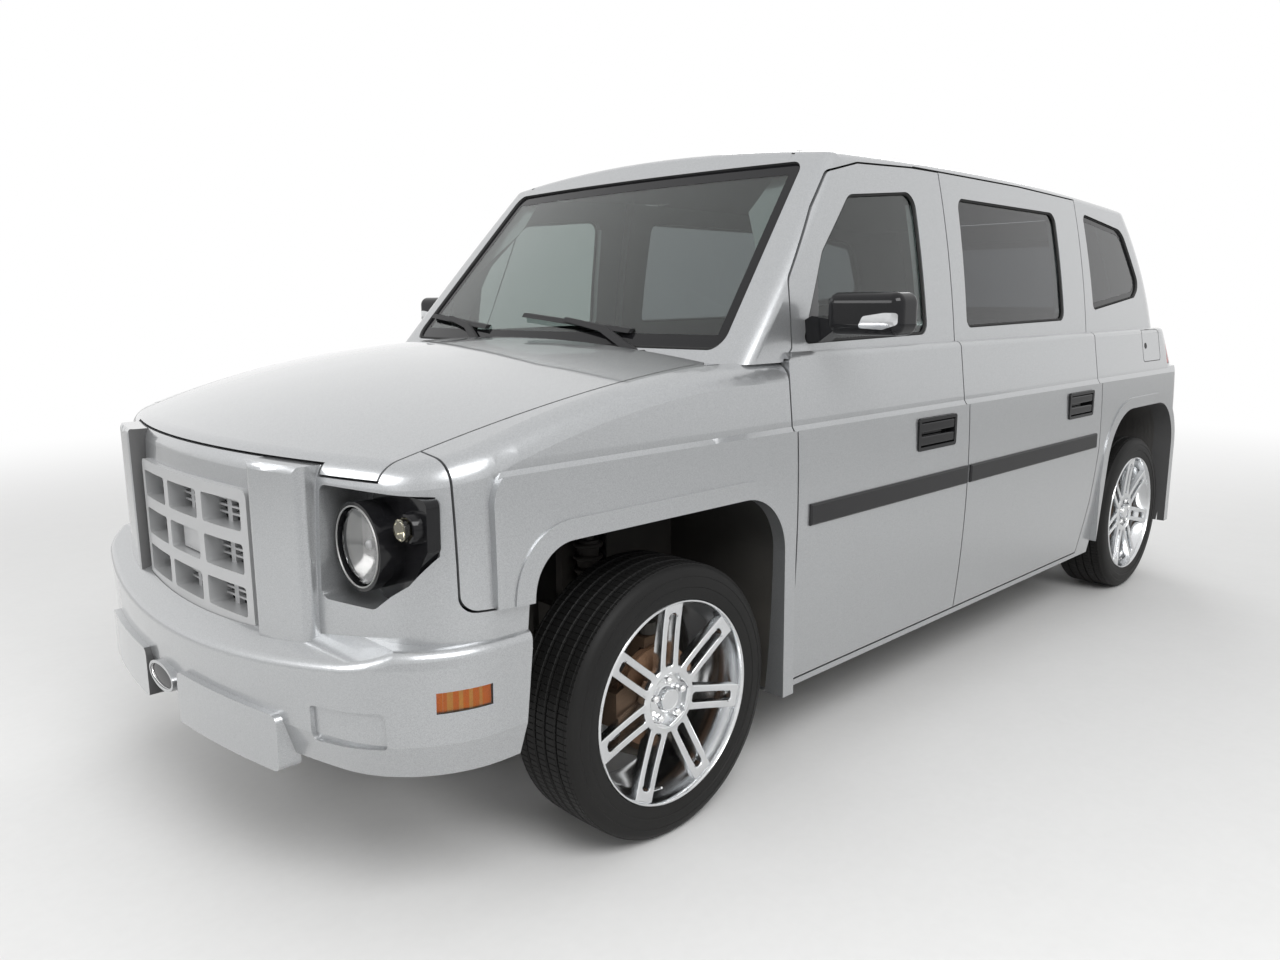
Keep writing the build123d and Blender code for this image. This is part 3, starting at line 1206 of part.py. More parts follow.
# Rear bumper plan levels. Columns: height, how far the face is set back.
REAR_BUMPER_LEVELS = ((336, 24), (430, 2), (560, 0), (596, 8))
REAR_BUMPER_FRONT_X = REAR_AXLE_X - 446 - FLARE_WIDTH - 14
PLATE_PAD = (-2596, 165, 412, 546)
PLATE_HOLE_Y = 89
PLATE_HOLE_Z = 506
PLATE_HOLE_R = 3.5


def rear_bumper():
    """The body-colour rear bumper, with a flat number plate pad and its two bolt holes."""
    faces = []
    for z, draft in REAR_BUMPER_LEVELS:
        faces.append(plan_outline(z, BODY_HALF + 3 - draft, BODY_HALF + 3 - draft, 1000, -BUMPER_X + draft,
                                  60, 44, 60, 262))
    form = loft(faces, ruled=True) & block(-3000, REAR_BUMPER_FRONT_X, -1300, 1300, 300, 700)
    form = form - lower_wall(-SEAT_GAP) - door_band(SEAT_GAP)
    form = max(form.solids(), key=lambda s: s.volume)
    face_x, half, z0, z1 = PLATE_PAD
    form = form - block(-3000, face_x, -half, half, z0, z1)
    for side in (-1, 1):
        y = side * PLATE_HOLE_Y
        form = form - rod((face_x - 10, y, PLATE_HOLE_Z), (face_x + 20, y, PLATE_HOLE_Z), PLATE_HOLE_R)
    return form


# Dashboard side view. Columns: X, Z, corner radius.
DASH = (
    (FIREWALL_X - SEAT_GAP, 900, 0),
    (FIREWALL_X - SEAT_GAP, 1276, 0),
    (1060, 1276, 30),
    (900, 1212, 40),
    (862, 1120, 40),
    (905, 960, 30),
    (1060, 880, 60),
)
DASH_HALF = 842
WHEEL_CENTRE = (742, 432, 1120)
COLUMN_LEAN = 26
STEER_R = 188


def dashboard():
    """The dashboard with its hooded binnacle, centre stack and steering column."""
    points, radii = outline(DASH)
    form = side_prism(points, -DASH_HALF, DASH_HALF, radii)
    cowl = side_prism(((1040, 1200), (1010, 1306), (900, 1286), (872, 1190)), 250, 614, {1: 20, 2: 30})
    low = TUNNEL_TOP + FLOOR_SHEET + SEAT_GAP
    stack = side_prism(((1100, low), (1100, 1000), (900, 1000), (880, 900), (960, low)), -130, 130, {2: 20})
    form = form + cowl + stack
    x, y, z = WHEEL_CENTRE
    lean = radians(COLUMN_LEAN)
    start = (x + 20 * cos(lean), y, z - 20 * sin(lean))
    end = (x + 330 * cos(lean), y, z - 330 * sin(lean))
    shroud = rod((x + 60 * cos(lean), y, z - 60 * sin(lean)), end, 42)
    return form + shroud + rod(start, end, 12)


def steering_wheel():
    ring = Torus(STEER_R, 15)
    boss = Pos(0, 0, -26) * Cylinder(44, 40)
    form = ring + boss
    for a in (0, 115, 245):
        spoke = Box(STEER_R - 20, 30, 12)
        form = form + Rotation(0, 0, a) * (Pos((STEER_R + 10) / 2, 0, -12) * spoke)
    form = form - Pos(0, 0, -40) * Cylinder(12 + RUNNING_GAP, 40.6)
    x, y, z = WHEEL_CENTRE
    return Pos(x, y, z) * (Rotation(0, COLUMN_LEAN - 90, 0) * form)


DRIVER_Y = 432
DRIVER_BASE_Z = 560
BENCH_BASE_Z = 660
# Seat solids by node. Columns: x0, x1, y0, y1, z0, z1, edge radius.
SEAT_SOLIDS = {
    "seat_bases": (
        (250, 700, DRIVER_Y - 200, DRIVER_Y + 200, FLOOR_TOP + SEAT_GAP, DRIVER_BASE_Z, 20),
        (-1840, -1380, -600, 600, REAR_FLOOR_TOP + SEAT_GAP, BENCH_BASE_Z, 14),
    ),
    "seat_cushions": (
        (236, 770, DRIVER_Y - 250, DRIVER_Y + 250, DRIVER_BASE_Z + SEAT_GAP, 690, 45),
        (-1850, -1345, -640, 640, BENCH_BASE_Z + SEAT_GAP, 790, 45),
    ),
}


BACK_R = 40


def seat_back(cushion_x, low_z, high_z, half, middle_y, lean, thick, heads):
    """A reclined backrest with its headrests, just behind its cushion, as one soft solid."""
    slope = radians(lean)
    foot_x = cushion_x - SEAT_GAP - BACK_R * (1 - cos(slope) - sin(slope))
    form = rounded_block(foot_x - thick, foot_x, middle_y - half, middle_y + half, low_z, high_z, BACK_R)
    for y in heads:
        head = rounded_block(foot_x - thick + 20, foot_x - 12, y - 130, y + 130, high_z + 26, high_z + 190, 34)
        stalk = block(foot_x - thick / 2 - 8, foot_x - thick / 2 + 8, y - 60, y + 60, high_z - 20, high_z + 60)
        form = form + head + stalk
    return Pos(foot_x, 0, low_z) * (Rotation(0, -lean, 0) * (Pos(-foot_x, 0, -low_z) * form))


RAMP = (-1120, -220, -868, 240)
RAMP_HEIGHT = 36


def ramp_cassette():
    x0, x1, y0, y1 = RAMP
    z0 = FLOOR_TOP + SEAT_GAP
    box = block(x0, x1, y0, y1, z0, z0 + RAMP_HEIGHT)
    return box - block(x0 + 5, x1 - 5, y0 - 10, y1 - 5, z0 + 4, z0 + RAMP_HEIGHT - 4)


def ramp_plate():
    x0, x1, y0, y1 = RAMP
    z0 = FLOOR_TOP + SEAT_GAP + 4 + SEAT_GAP
    plate = block(x0 + 9, x1 - 9, y0 + 4, y1 - 9, z0, z0 + 8)
    for x in (x0 + 9, x1 - 15):
        plate = plate + block(x, x + 6, y0 + 4, y1 - 9, z0, z0 + 26)
    return plate


# Wipers seen along X. Columns: pivot Y, arm's end Y, blade's two end Ys.
WIPERS = ((547, 112, -142, 446), (-276, -640, -800, -330))
WIPER_PIVOT_Z = 1333
WIPER_ELBOW_Z = 1412
WIPER_END_Z = 1440
BLADE_SLOPE = 0.08
BLADE_HALF = 7


def wiper(pivot_y, end_y, inner_y, outer_y):
    """One parked wiper: its pivot on the screen's base, its bent arm, and its blade on the glass."""
    elbow_y = pivot_y + 0.52 * (end_y - pivot_y)
    arm = front_prism(((pivot_y + 3, WIPER_PIVOT_Z + 9), (elbow_y + 2, WIPER_ELBOW_Z + 9), (end_y, WIPER_END_Z + 6),
                       (end_y, WIPER_END_Z - 6), (elbow_y - 2, WIPER_ELBOW_Z - 9),
                       (pivot_y - 3, WIPER_PIVOT_Z - 9)), 600, 1500)
    middle_z = WIPER_END_Z - 8
    corners = []
    for y, side in ((inner_y, 1), (outer_y, 1), (outer_y, -1), (inner_y, -1)):
        corners.append((y, middle_z + BLADE_SLOPE * (end_y - y) + side * BLADE_HALF))
    blade = front_prism(corners, 600, 1500) & (greenhouse(-8) - greenhouse(12 - SEAT_GAP))
    cap = rod((600, pivot_y, WIPER_PIVOT_Z), (1500, pivot_y, WIPER_PIVOT_Z), 16)
    outer = greenhouse(-16)
    arm = (arm & (outer - greenhouse(-4))) + (cap & (outer - greenhouse(-SEAT_GAP)))
    return arm + blade


RADIATOR = (2296, 2352, -366, 366, 470 + SEAT_GAP, 1070)


def build_all():
    shell = Shell()
    write("chassis_frame", chassis_frame())
    write("floor_pan", floor_pan())
    write("firewall", firewall())
    left_frame = side_frame(shell)
    write("side_frames", group(left_frame, mirrored(left_frame)))
    write("roof_panel", roof_panel(shell))
    fender = fenders(shell)
    write("front_fenders", group(fender, mirrored(fender)))
    fascia = front_fascia(shell)
    marker = side_marker(bumper_form(0, 100, 800), bumper_form(10, 100, 800))
    fascia = fascia - marker - mirrored(marker)
    write("front_fascia", fascia)
    write("grille", grille())
    housing = headlamp_housing()
    write("headlamp_housings", group(housing, mirrored(housing)))
    lens = headlamp_lens()
    write("headlamp_lenses", group(lens, mirrored(lens)))
    amber = amber_lamps()
    write("amber_lamps", group(amber, mirrored(amber), marker, mirrored(marker)))
    write("radiator", block(*RADIATOR))
    write("wipers", group(*[wiper(*row) for row in WIPERS]))
    write("hood", hood(shell))
    write("windscreen", pane(shell, WINDSCREEN, 500, 1500))
    quarter = door_glass(shell, QUARTER_WINDOW)
    write("quarter_windows", group(quarter, mirrored(quarter)))
    lamp = (shell.left & tail_lamp_form(0)) - inner_form(30)
    write("tail_lamps", group(lamp, mirrored(lamp)))
    write("rear_bumper", rear_bumper())
    write("tailgate", tailgate(shell))
    write("tailgate_glass", pane(shell, TAILGATE_WINDOW, -3000, -1900))

    front_form, rear_form = door_forms()
    front_panel = door_panel(shell, front_form, FRONT_WINDOW, FRONT_PIVOT_X, FRONT_GAP_X)
    rear_panel = door_panel(shell, rear_form, REAR_WINDOW, REAR_PIVOT_X, B_GAP_X)
    front_panel = front_panel - handle_pocket(*HANDLES["front"])
    rear_panel = rear_panel - handle_pocket(*HANDLES["rear"])
    front_trim = door_trim(front_panel, B_GAP_X + 12, 1008, *HANDLES["front"])
    rear_trim = door_trim(rear_panel, -1262, B_GAP_X - 12, *HANDLES["rear"])
    front_glass = door_glass(shell, FRONT_WINDOW)
    rear_glass = door_glass(shell, REAR_WINDOW)
    housing = mirror_housing() - front_panel - front_glass
    housing = max(housing.solids(), key=lambda s: s.volume)
    for name, form in (("front_door", front_panel), ("front_door_glass", front_glass),
                       ("front_door_trim", front_trim), ("rear_door", rear_panel),
                       ("rear_door_glass", rear_glass), ("rear_door_trim", rear_trim),
                       ("door_mirror", housing), ("knuckle", knuckle())):
        write(name + "_left", form)
        write(name + "_right", mirrored(form))

    suspension = front_suspension()
    write("front_suspension", group(suspension, mirrored(suspension)))
    housing = front_wheelhouse()
    write("front_wheelhouses", group(housing, mirrored(housing)))
    write("rear_axle", rear_axle())
    write("powertrain_block", powertrain_block())
    x0, x1, y0, y1, z0, z1 = FUEL_TANK
    write("fuel_tank", rounded_block(x0, x1, y0, y1, z0, z1, 30))
    write("exhaust", exhaust())
    write("dashboard", dashboard())
    write("steering_wheel", steering_wheel())
    for name, rows in SEAT_SOLIDS.items():
        write(name, group(*[rounded_block(*row) for row in rows]))
    driver_cushion, bench_cushion = SEAT_SOLIDS["seat_cushions"]
    driver_back = seat_back(driver_cushion[0], 600, 1180, 235, DRIVER_Y, 14, 110, (DRIVER_Y,))
    bench_back = seat_back(bench_cushion[0], 690, 1240, 630, 0, 12, 110, (-430, 0, 430))
    write("seat_backs", group(driver_back, bench_back))
    write("ramp_cassette", ramp_cassette())
    write("ramp_plate", ramp_plate())
    tyre_form = tyre()
    rim_form = rim()
    for end, axle_x in (("front", FRONT_AXLE_X), ("rear", REAR_AXLE_X)):
        for side, sign in (("left", 1), ("right", -1)):
            write(end + "_tyre_" + side, placed(tyre_form, axle_x, sign))
            write(end + "_rim_" + side, placed(rim_form, axle_x, sign))


if __name__ == "__main__":
    os.makedirs("parts", exist_ok=True)
    build_all()
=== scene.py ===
# %% [markdown]
# # A wheelchair accessible van, dressed over its CAD frame
# The CAD model gives every panel, pane and wheel its true place. This notebook gives each of them
# its finish, and adds what is too fine for the CAD: tread, gaskets, lamp insides, padded seats and trim.
# Everything is in metres: X points forward, Y to the vehicle's left and Z up from the ground.

# %% Load the frame
from math import cos, exp, pi, radians, sin, tan

import bmesh
import bpy
from mathutils import Matrix, Vector
from mathutils.bvhtree import BVHTree


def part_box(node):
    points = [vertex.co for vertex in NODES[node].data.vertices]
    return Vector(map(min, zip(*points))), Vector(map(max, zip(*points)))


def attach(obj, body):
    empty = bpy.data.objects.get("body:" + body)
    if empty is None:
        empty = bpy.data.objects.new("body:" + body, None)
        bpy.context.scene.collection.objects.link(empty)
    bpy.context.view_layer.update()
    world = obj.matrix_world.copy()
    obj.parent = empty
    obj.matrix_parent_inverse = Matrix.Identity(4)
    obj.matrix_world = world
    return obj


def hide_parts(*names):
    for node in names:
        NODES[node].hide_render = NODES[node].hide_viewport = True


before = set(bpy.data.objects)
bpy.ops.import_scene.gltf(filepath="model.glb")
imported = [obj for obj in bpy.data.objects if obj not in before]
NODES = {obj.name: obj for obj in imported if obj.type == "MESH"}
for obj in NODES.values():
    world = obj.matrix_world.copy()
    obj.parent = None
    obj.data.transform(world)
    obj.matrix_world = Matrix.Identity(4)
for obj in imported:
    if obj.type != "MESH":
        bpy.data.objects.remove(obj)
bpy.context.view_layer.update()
MM = 0.001
SIDES = (("left", 1), ("right", -1))

# %% [markdown]
# ## The camera
# The photograph was taken from standing eye height, off the front left corner, with a wide phone lens.
# The camera's place and its three axes were solved from the wheels, the hood and the belt line,
# so they are written down as they came out, and the lens has no shift.

# %% Camera
CAMERA_PLACE = Vector((3.4372, 2.7283, 1.4959))
CAMERA_RIGHT = Vector((-0.71254808, 0.70160461, -0.0051192))
CAMERA_UP = Vector((-0.12987221, -0.12472076, 0.9836554))
CAMERA_BACK = Vector((0.68949869, 0.7015666, 0.17998848))
CAMERA_LENS = 27.33
SENSOR_WIDTH = 36.0

camera_data = bpy.data.cameras.new("photo_camera")
camera_data.lens = CAMERA_LENS
camera_data.sensor_width = SENSOR_WIDTH
camera_data.sensor_fit = "HORIZONTAL"
camera_data.clip_end = 200.0
camera = bpy.data.objects.new("photo_camera", camera_data)
bpy.context.scene.collection.objects.link(camera)
axes = Matrix((CAMERA_RIGHT, CAMERA_UP, CAMERA_BACK)).transposed().to_4x4()
camera.matrix_world = Matrix.Translation(CAMERA_PLACE) @ axes
bpy.context.scene.camera = camera
print("camera height", round(CAMERA_PLACE.z, 3), "m")

# %% [markdown]
# ## Building blocks for finishes
# A finish is a small tree of nodes. A few helpers keep the trees short: they add a node with its inputs,
# do a sum, blend colours or numbers, and read a point's place. The effects that several finishes share
# are groups, which put out only masks and values.

# %% Node helpers
def connect(tree, socket, value):
    """Link an output to a socket, or set the socket's own value."""
    if isinstance(value, bpy.types.NodeSocket):
        tree.links.new(value, socket)
    else:
        socket.default_value = value


def add(tree, kind, inputs=None, **settings):
    """A new node in a tree, with its settings and its inputs, given as values or as other nodes' outputs."""
    made = tree.nodes.new(kind)
    for key, value in settings.items():
        setattr(made, key, value)
    for key, value in (inputs or {}).items():
        connect(tree, made.inputs[key], value)
    return made


def maths(tree, operation, *terms, clamp=False):
    """One sum on values or outputs."""
    node = add(tree, "ShaderNodeMath", dict(enumerate(terms)), operation=operation, use_clamp=clamp)
    return node.outputs[0]


def blend_colour(tree, factor, low, high):
    """A colour between two others, each an output or three numbers."""
    low, high = [(*end, 1.0) if isinstance(end, tuple) else end for end in (low, high)]
    return add(tree, "ShaderNodeMix", {0: factor, 6: low, 7: high}, data_type="RGBA").outputs[2]


def blend_value(tree, factor, low, high):
    """A number between two others."""
    return add(tree, "ShaderNodeMix", {0: factor, 2: low, 3: high}, data_type="FLOAT").outputs[0]


def noise(tree, place, scale, detail):
    """Smooth noise with a scale per metre."""
    return add(tree, "ShaderNodeTexNoise", {"Vector": place, "Scale": scale, "Detail": detail}).outputs[0]


def relief(tree, height, strength, distance):
    """A normal that follows a height."""
    inputs = {"Height": height, "Strength": strength, "Distance": distance}
    return add(tree, "ShaderNodeBump", inputs).outputs[0]


def object_place(tree):
    """A point's place on the object and its three coordinates."""
    place = add(tree, "ShaderNodeTexCoord").outputs["Object"]
    split = add(tree, "ShaderNodeSeparateXYZ", {0: place})
    return place, split.outputs["X"], split.outputs["Y"], split.outputs["Z"]


def facing(tree):
    """The three coordinates of a face's direction."""
    return add(tree, "ShaderNodeSeparateXYZ", {0: add(tree, "ShaderNodeTexCoord").outputs["Normal"]}).outputs


def shader_group(name, inputs, outputs):
    """An empty node group with named number sockets."""
    tree = bpy.data.node_groups.new(name, "ShaderNodeTree")
    for label, value in inputs:
        made = tree.interface.new_socket(label, in_out="INPUT", socket_type="NodeSocketFloat")
        made.default_value = value
    for label in outputs:
        tree.interface.new_socket(label, in_out="OUTPUT", socket_type="NodeSocketFloat")
    return tree, tree.nodes.new("NodeGroupInput").outputs, tree.nodes.new("NodeGroupOutput").inputs


print("node helpers are ready")

# %% [markdown]
# ## Grain, dust and the cabin side
# Moulded plastic, cast metal and paint all vary a little: a fine noise gives the grain and a broad one
# the slow change across a panel. Road dust gathers low down. The cabin side mask finds the faces of a
# body panel that look into the cabin. They get dark grey, which is trim where the real van has trim,
# and painted shade of the dark cabin on posts and panels that are really silver paint.

# %% Shared effects
GRAIN_SCALE = 400.0
BROAD_SCALE = 6.0
BROAD_SHARE = 0.45
DUST_TOP = 0.9
DUST_SCALE = 5.0
DUST_COLOUR = (0.30, 0.27, 0.23)
INWARD_LIMIT = 0.35
ROOF_LOW = 1.8
TAIL_FRONT = -1.9


def make_grain_group():
    """A value that mixes fine and broad noise, and the fine noise alone as a height."""
    tree, given, result = shader_group("fine_grain", (("Scale", GRAIN_SCALE),), ("Value", "Height"))
    place = object_place(tree)[0]
    fine = noise(tree, place, given["Scale"], 3.0)
    broad = noise(tree, place, BROAD_SCALE, 2.0)
    tree.links.new(blend_value(tree, BROAD_SHARE, fine, broad), result["Value"])
    tree.links.new(fine, result["Height"])
    return tree


def make_dust_group():
    """A patchy mask that fades out with height."""
    tree, given, result = shader_group("road_dust", (("Amount", 0.3),), ("Mask",))
    place, _, _, height = object_place(tree)
    low = maths(tree, "SUBTRACT", 1.0, maths(tree, "DIVIDE", height, DUST_TOP), clamp=True)
    patchy = noise(tree, place, DUST_SCALE, 5.0)
    mask = maths(tree, "MULTIPLY", maths(tree, "MULTIPLY", low, patchy), given["Amount"], clamp=True)
    tree.links.new(mask, result["Mask"])
    return tree


def make_cabin_group():
    """A mask of the faces that look into the cabin from the sides, the roof and the tail, where dark grey
    stands for trim and for painted shade.
    """
    tree, _, result = shader_group("cabin_side", (), ("Mask",))
    _, along, across, height = object_place(tree)
    face = facing(tree)
    inward = maths(tree, "MULTIPLY", maths(tree, "SIGN", across), maths(tree, "MULTIPLY", face["Y"], -1.0))
    side = maths(tree, "GREATER_THAN", inward, INWARD_LIMIT)
    below = maths(tree, "GREATER_THAN", maths(tree, "MULTIPLY", face["Z"], -1.0), INWARD_LIMIT)
    roof = maths(tree, "MULTIPLY", below, maths(tree, "GREATER_THAN", height, ROOF_LOW))
    ahead = maths(tree, "GREATER_THAN", face["X"], INWARD_LIMIT)
    tail = maths(tree, "MULTIPLY", ahead, maths(tree, "LESS_THAN", along, TAIL_FRONT))
    tree.links.new(maths(tree, "MAXIMUM", maths(tree, "MAXIMUM", side, roof), tail), result["Mask"])
    return tree


GRAIN = make_grain_group()
DUST = make_dust_group()
CABIN = make_cabin_group()
print("shader groups:", [tree.name for tree in (GRAIN, DUST, CABIN)])

# %% [markdown]
# ## Plain finishes from a table
# Most finishes on a vehicle are one material with a slight change of colour and gloss, a fine relief
# and some dust. One function builds them all from a row of a table, so a new finish costs one line.

# %% A finish builder
DUSTY_ROUGHNESS = 0.8
GRAIN_STRENGTH = 0.6
DIM_SHINE = 0.25
SOFT_RELIEF = (0.3, 0.0001)


def new_finish(name):
    """An empty material, its tree and its shader."""
    made = bpy.data.materials.new(name)
    made.use_nodes = True
    return made, made.node_tree, made.node_tree.nodes["Principled BSDF"]


def feed(shader, **values):
    """Link or set the shader's sockets, whose names have an underscore for each space."""
    for label, value in values.items():
        connect(shader.id_data, shader.inputs[label.replace("_", " ")], value)


def grain(tree, scale=GRAIN_SCALE):
    """The fine grain's value and its height."""
    outputs = add(tree, "ShaderNodeGroup", {"Scale": scale}, node_tree=GRAIN).outputs
    return outputs["Value"], outputs["Height"]


def dust_mask(tree, amount):
    """Where road dust lies."""
    return add(tree, "ShaderNodeGroup", {"Amount": amount}, node_tree=DUST).outputs["Mask"]


def grained(name, dark, light, rough, scale, depth, dust=0.0, **plain):
    """A finish with two near colours, a range of roughness, grain per metre and a relief in metres."""
    made, tree, shader = new_finish(name)
    value, height = grain(tree, scale)
    colour = blend_colour(tree, value, dark, light)
    gloss = blend_value(tree, value, *rough)
    if dust:
        mask = dust_mask(tree, dust)
        colour = blend_colour(tree, mask, colour, DUST_COLOUR)
        gloss = blend_value(tree, mask, gloss, DUSTY_ROUGHNESS)
    feed(shader, Base_Color=colour, Roughness=gloss, Normal=relief(tree, height, GRAIN_STRENGTH, depth),
         **plain)
    return made


print("finish builder is ready")

# %% Plain finishes
# Columns: name, dark colour, light colour, roughness range, grain per metre, relief in metres, dust.
DARK_ROWS = (
    ("gloss_black", (0.006, 0.006, 0.007), (0.011, 0.011, 0.012), (0.06, 0.12), 60, 0.00004, 0.04),
    ("satin_black", (0.012, 0.012, 0.013), (0.021, 0.021, 0.022), (0.42, 0.55), 900, 0.00012, 0.1),
    ("rubber_seal", (0.012, 0.012, 0.012), (0.022, 0.022, 0.022), (0.55, 0.7), 500, 0.0001, 0.0),
    ("chassis_black", (0.014, 0.014, 0.015), (0.034, 0.031, 0.028), (0.45, 0.7), 120, 0.0004, 0.8),
    ("underbody", (0.012, 0.012, 0.012), (0.034, 0.033, 0.031), (0.6, 0.8), 220, 0.0006, 0.45),
    ("cabin_plastic", (0.035, 0.036, 0.038), (0.055, 0.056, 0.058), (0.5, 0.62), 1400, 0.00018, 0.0),
    ("cabin_trim", (0.060, 0.060, 0.060), (0.085, 0.084, 0.082), (0.6, 0.75), 1100, 0.0002, 0.0),
    ("sail_grey", (0.085, 0.086, 0.088), (0.11, 0.11, 0.112), (0.35, 0.45), 800, 0.0001, 0.05),
)
METAL_ROWS = (
    ("polished_alloy", (0.62, 0.63, 0.64), (0.78, 0.79, 0.80), (0.10, 0.22), 90, 0.00003, 0.18),
    ("cast_steel", (0.070, 0.048, 0.034), (0.20, 0.13, 0.085), (0.6, 0.85), 160, 0.0006, 0.3),
    ("bare_steel", (0.24, 0.23, 0.21), (0.42, 0.40, 0.37), (0.38, 0.6), 200, 0.0003, 0.5),
    ("cast_alloy", (0.34, 0.34, 0.34), (0.48, 0.48, 0.47), (0.45, 0.62), 300, 0.0005, 0.2),
    ("chrome", (0.80, 0.80, 0.80), (0.90, 0.90, 0.90), (0.04, 0.09), 50, 0.00002, 0.05),
    ("dim_reflector", (0.16, 0.16, 0.155), (0.26, 0.255, 0.25), (0.10, 0.2), 60, 0.00002, 0.05),
    ("ramp_alloy", (0.40, 0.41, 0.42), (0.55, 0.56, 0.57), (0.35, 0.5), 260, 0.0002, 0.1),
)
FINISH = {}
for row in DARK_ROWS:
    FINISH[row[0]] = grained(*row, Specular_IOR_Level=DIM_SHINE)
for row in METAL_ROWS:
    FINISH[row[0]] = grained(*row, Metallic=1.0)
FINISH["silver_plastic"] = grained("silver_plastic", (0.40, 0.405, 0.41), (0.50, 0.505, 0.51), (0.3, 0.4),
                                   700, 0.00005, 0.12, Metallic=0.35, Coat_Weight=0.2)
FINISH["tyre_rubber"] = grained("tyre_rubber", (0.007, 0.007, 0.007), (0.016, 0.016, 0.016), (0.42, 0.6), 350,
                                0.0002, 0.03, Specular_IOR_Level=0.15)
FINISH["blank_plate"] = grained("blank_plate", (0.62, 0.62, 0.61), (0.70, 0.70, 0.69), (0.3, 0.4), 200,
                                0.00005, 0.1)
print(len(FINISH), "plain finishes")

# %% [markdown]
# ## The silver metallic paint
# A modern metallic paint is a layer of aluminium flakes under clear lacquer. Fine cells of slightly
# different brightness stand for the flakes, a slow noise gives the lacquer its orange peel, and the
# shader's coat is the lacquer itself. Faces that look into the cabin get dark grey in place of paint:
# trim where the van has trim, and painted shade of the dark cabin where the panel is really silver.

# %% Body paint
PAINT_DARK = (0.33, 0.34, 0.35)
PAINT_LIGHT = (0.46, 0.47, 0.48)
PAINT_METAL = 0.72
PAINT_ROUGHNESS = 0.30
PAINT_DUST = 0.12
# Dark grey for the faces that look into the cabin: trim colour, and painted shade where the real panel is
# silver.
TRIM_AND_SHADE_COLOUR = (0.075, 0.075, 0.076)
TRIM_ROUGHNESS = 0.7
LACQUER_ROUGHNESS = 0.03
FLAKES_PER_METRE = 900.0
PEEL_PER_METRE = 70.0
PEEL_RELIEF = (0.25, 0.0002)


def body_paint():
    """Flakes under lacquer outside, and dark grey on the faces that look into the cabin: trim, and painted
    shade of the dark cabin.
    """
    made, tree, shader = new_finish("body_paint")
    place = object_place(tree)[0]
    flakes = add(tree, "ShaderNodeTexVoronoi", {"Vector": place, "Scale": FLAKES_PER_METRE})
    glint = add(tree, "ShaderNodeSeparateColor", {0: flakes.outputs["Color"]}).outputs[0]
    dust = dust_mask(tree, PAINT_DUST)
    # Faces that look into the cabin take dark grey: trim, and painted shade of the dark cabin.
    inside = add(tree, "ShaderNodeGroup", node_tree=CABIN).outputs["Mask"]
    outside = maths(tree, "SUBTRACT", 1.0, inside)
    dusty = blend_colour(tree, dust, blend_colour(tree, glint, PAINT_DARK, PAINT_LIGHT), DUST_COLOUR)
    gloss = blend_value(tree, dust, PAINT_ROUGHNESS, TRIM_ROUGHNESS)
    feed(shader, Base_Color=blend_colour(tree, inside, dusty, TRIM_AND_SHADE_COLOUR),
         Roughness=blend_value(tree, inside, gloss, TRIM_ROUGHNESS),
         Metallic=maths(tree, "MULTIPLY", outside, PAINT_METAL), Coat_Weight=outside,
         Coat_Roughness=LACQUER_ROUGHNESS,
         Normal=relief(tree, noise(tree, place, PEEL_PER_METRE, 1.0), *PEEL_RELIEF))
    return made


FINISH["body_paint"] = body_paint()
print("paint reads", PAINT_DARK, "to", PAINT_LIGHT)

# %% [markdown]
# ## Glass and lamp plastics
# A pane is solid in the CAD, so plain transmission bends and darkens what is behind it as real glass
# does. The side glass behind the driver is tinted. Lamp plastics are the same material in amber, red or
# clear, with a faint haze. Two lamps and two trims share a CAD node, so height tells them apart.

# %% Glass finishes
GLASS_IOR = 1.46
GLASS_GRAIN = 30.0
CORNER_LAMP_LOW = 0.85
HANDLE_LOW = 0.93
AMBER = ((0.95, 0.36, 0.03), (1.0, 0.45, 0.05))
PALE_YELLOW = (0.98, 0.93, 0.72)
HANDLE_ROUGHNESS = 0.10
MOULDING_ROUGHNESS = 0.42


def glass(name, low, high, haze):
    """A clear or tinted solid, with a little haze where haze isn't 0."""
    made, tree, shader = new_finish(name)
    value = grain(tree, GLASS_GRAIN)[0]
    rough = maths(tree, "MULTIPLY", value, haze) if haze else 0.0
    feed(shader, Base_Color=blend_colour(tree, value, low, high), Roughness=rough, Transmission_Weight=1.0,
         IOR=GLASS_IOR)
    return made


# Columns: name, low colour, high colour, haze.
for row in (
    ("clear_glass", (0.50, 0.56, 0.54), (0.56, 0.62, 0.60), 0.0),
    ("door_glass", (0.30, 0.34, 0.33), (0.36, 0.40, 0.39), 0.0),
    ("tinted_glass", (0.14, 0.15, 0.16), (0.19, 0.20, 0.21), 0.0),
    ("lamp_lens", (0.95, 0.96, 0.97), (1.0, 1.0, 1.0), 0.03),
    ("red_lens", (0.55, 0.01, 0.01), (0.72, 0.02, 0.015), 0.1),
):
    FINISH[row[0]] = glass(*row)


def side_lamp_plastic():
    """Amber low on the flank, and pale yellow for the small lamp beside the headlamp."""
    made = glass("side_lamp_plastic", *AMBER, 0.12)
    tree = made.node_tree
    shader = tree.nodes["Principled BSDF"]
    amber = shader.inputs["Base Color"].links[0].from_socket
    high = maths(tree, "GREATER_THAN", object_place(tree)[3], CORNER_LAMP_LOW)
    feed(shader, Base_Color=blend_colour(tree, high, amber, PALE_YELLOW))
    return made


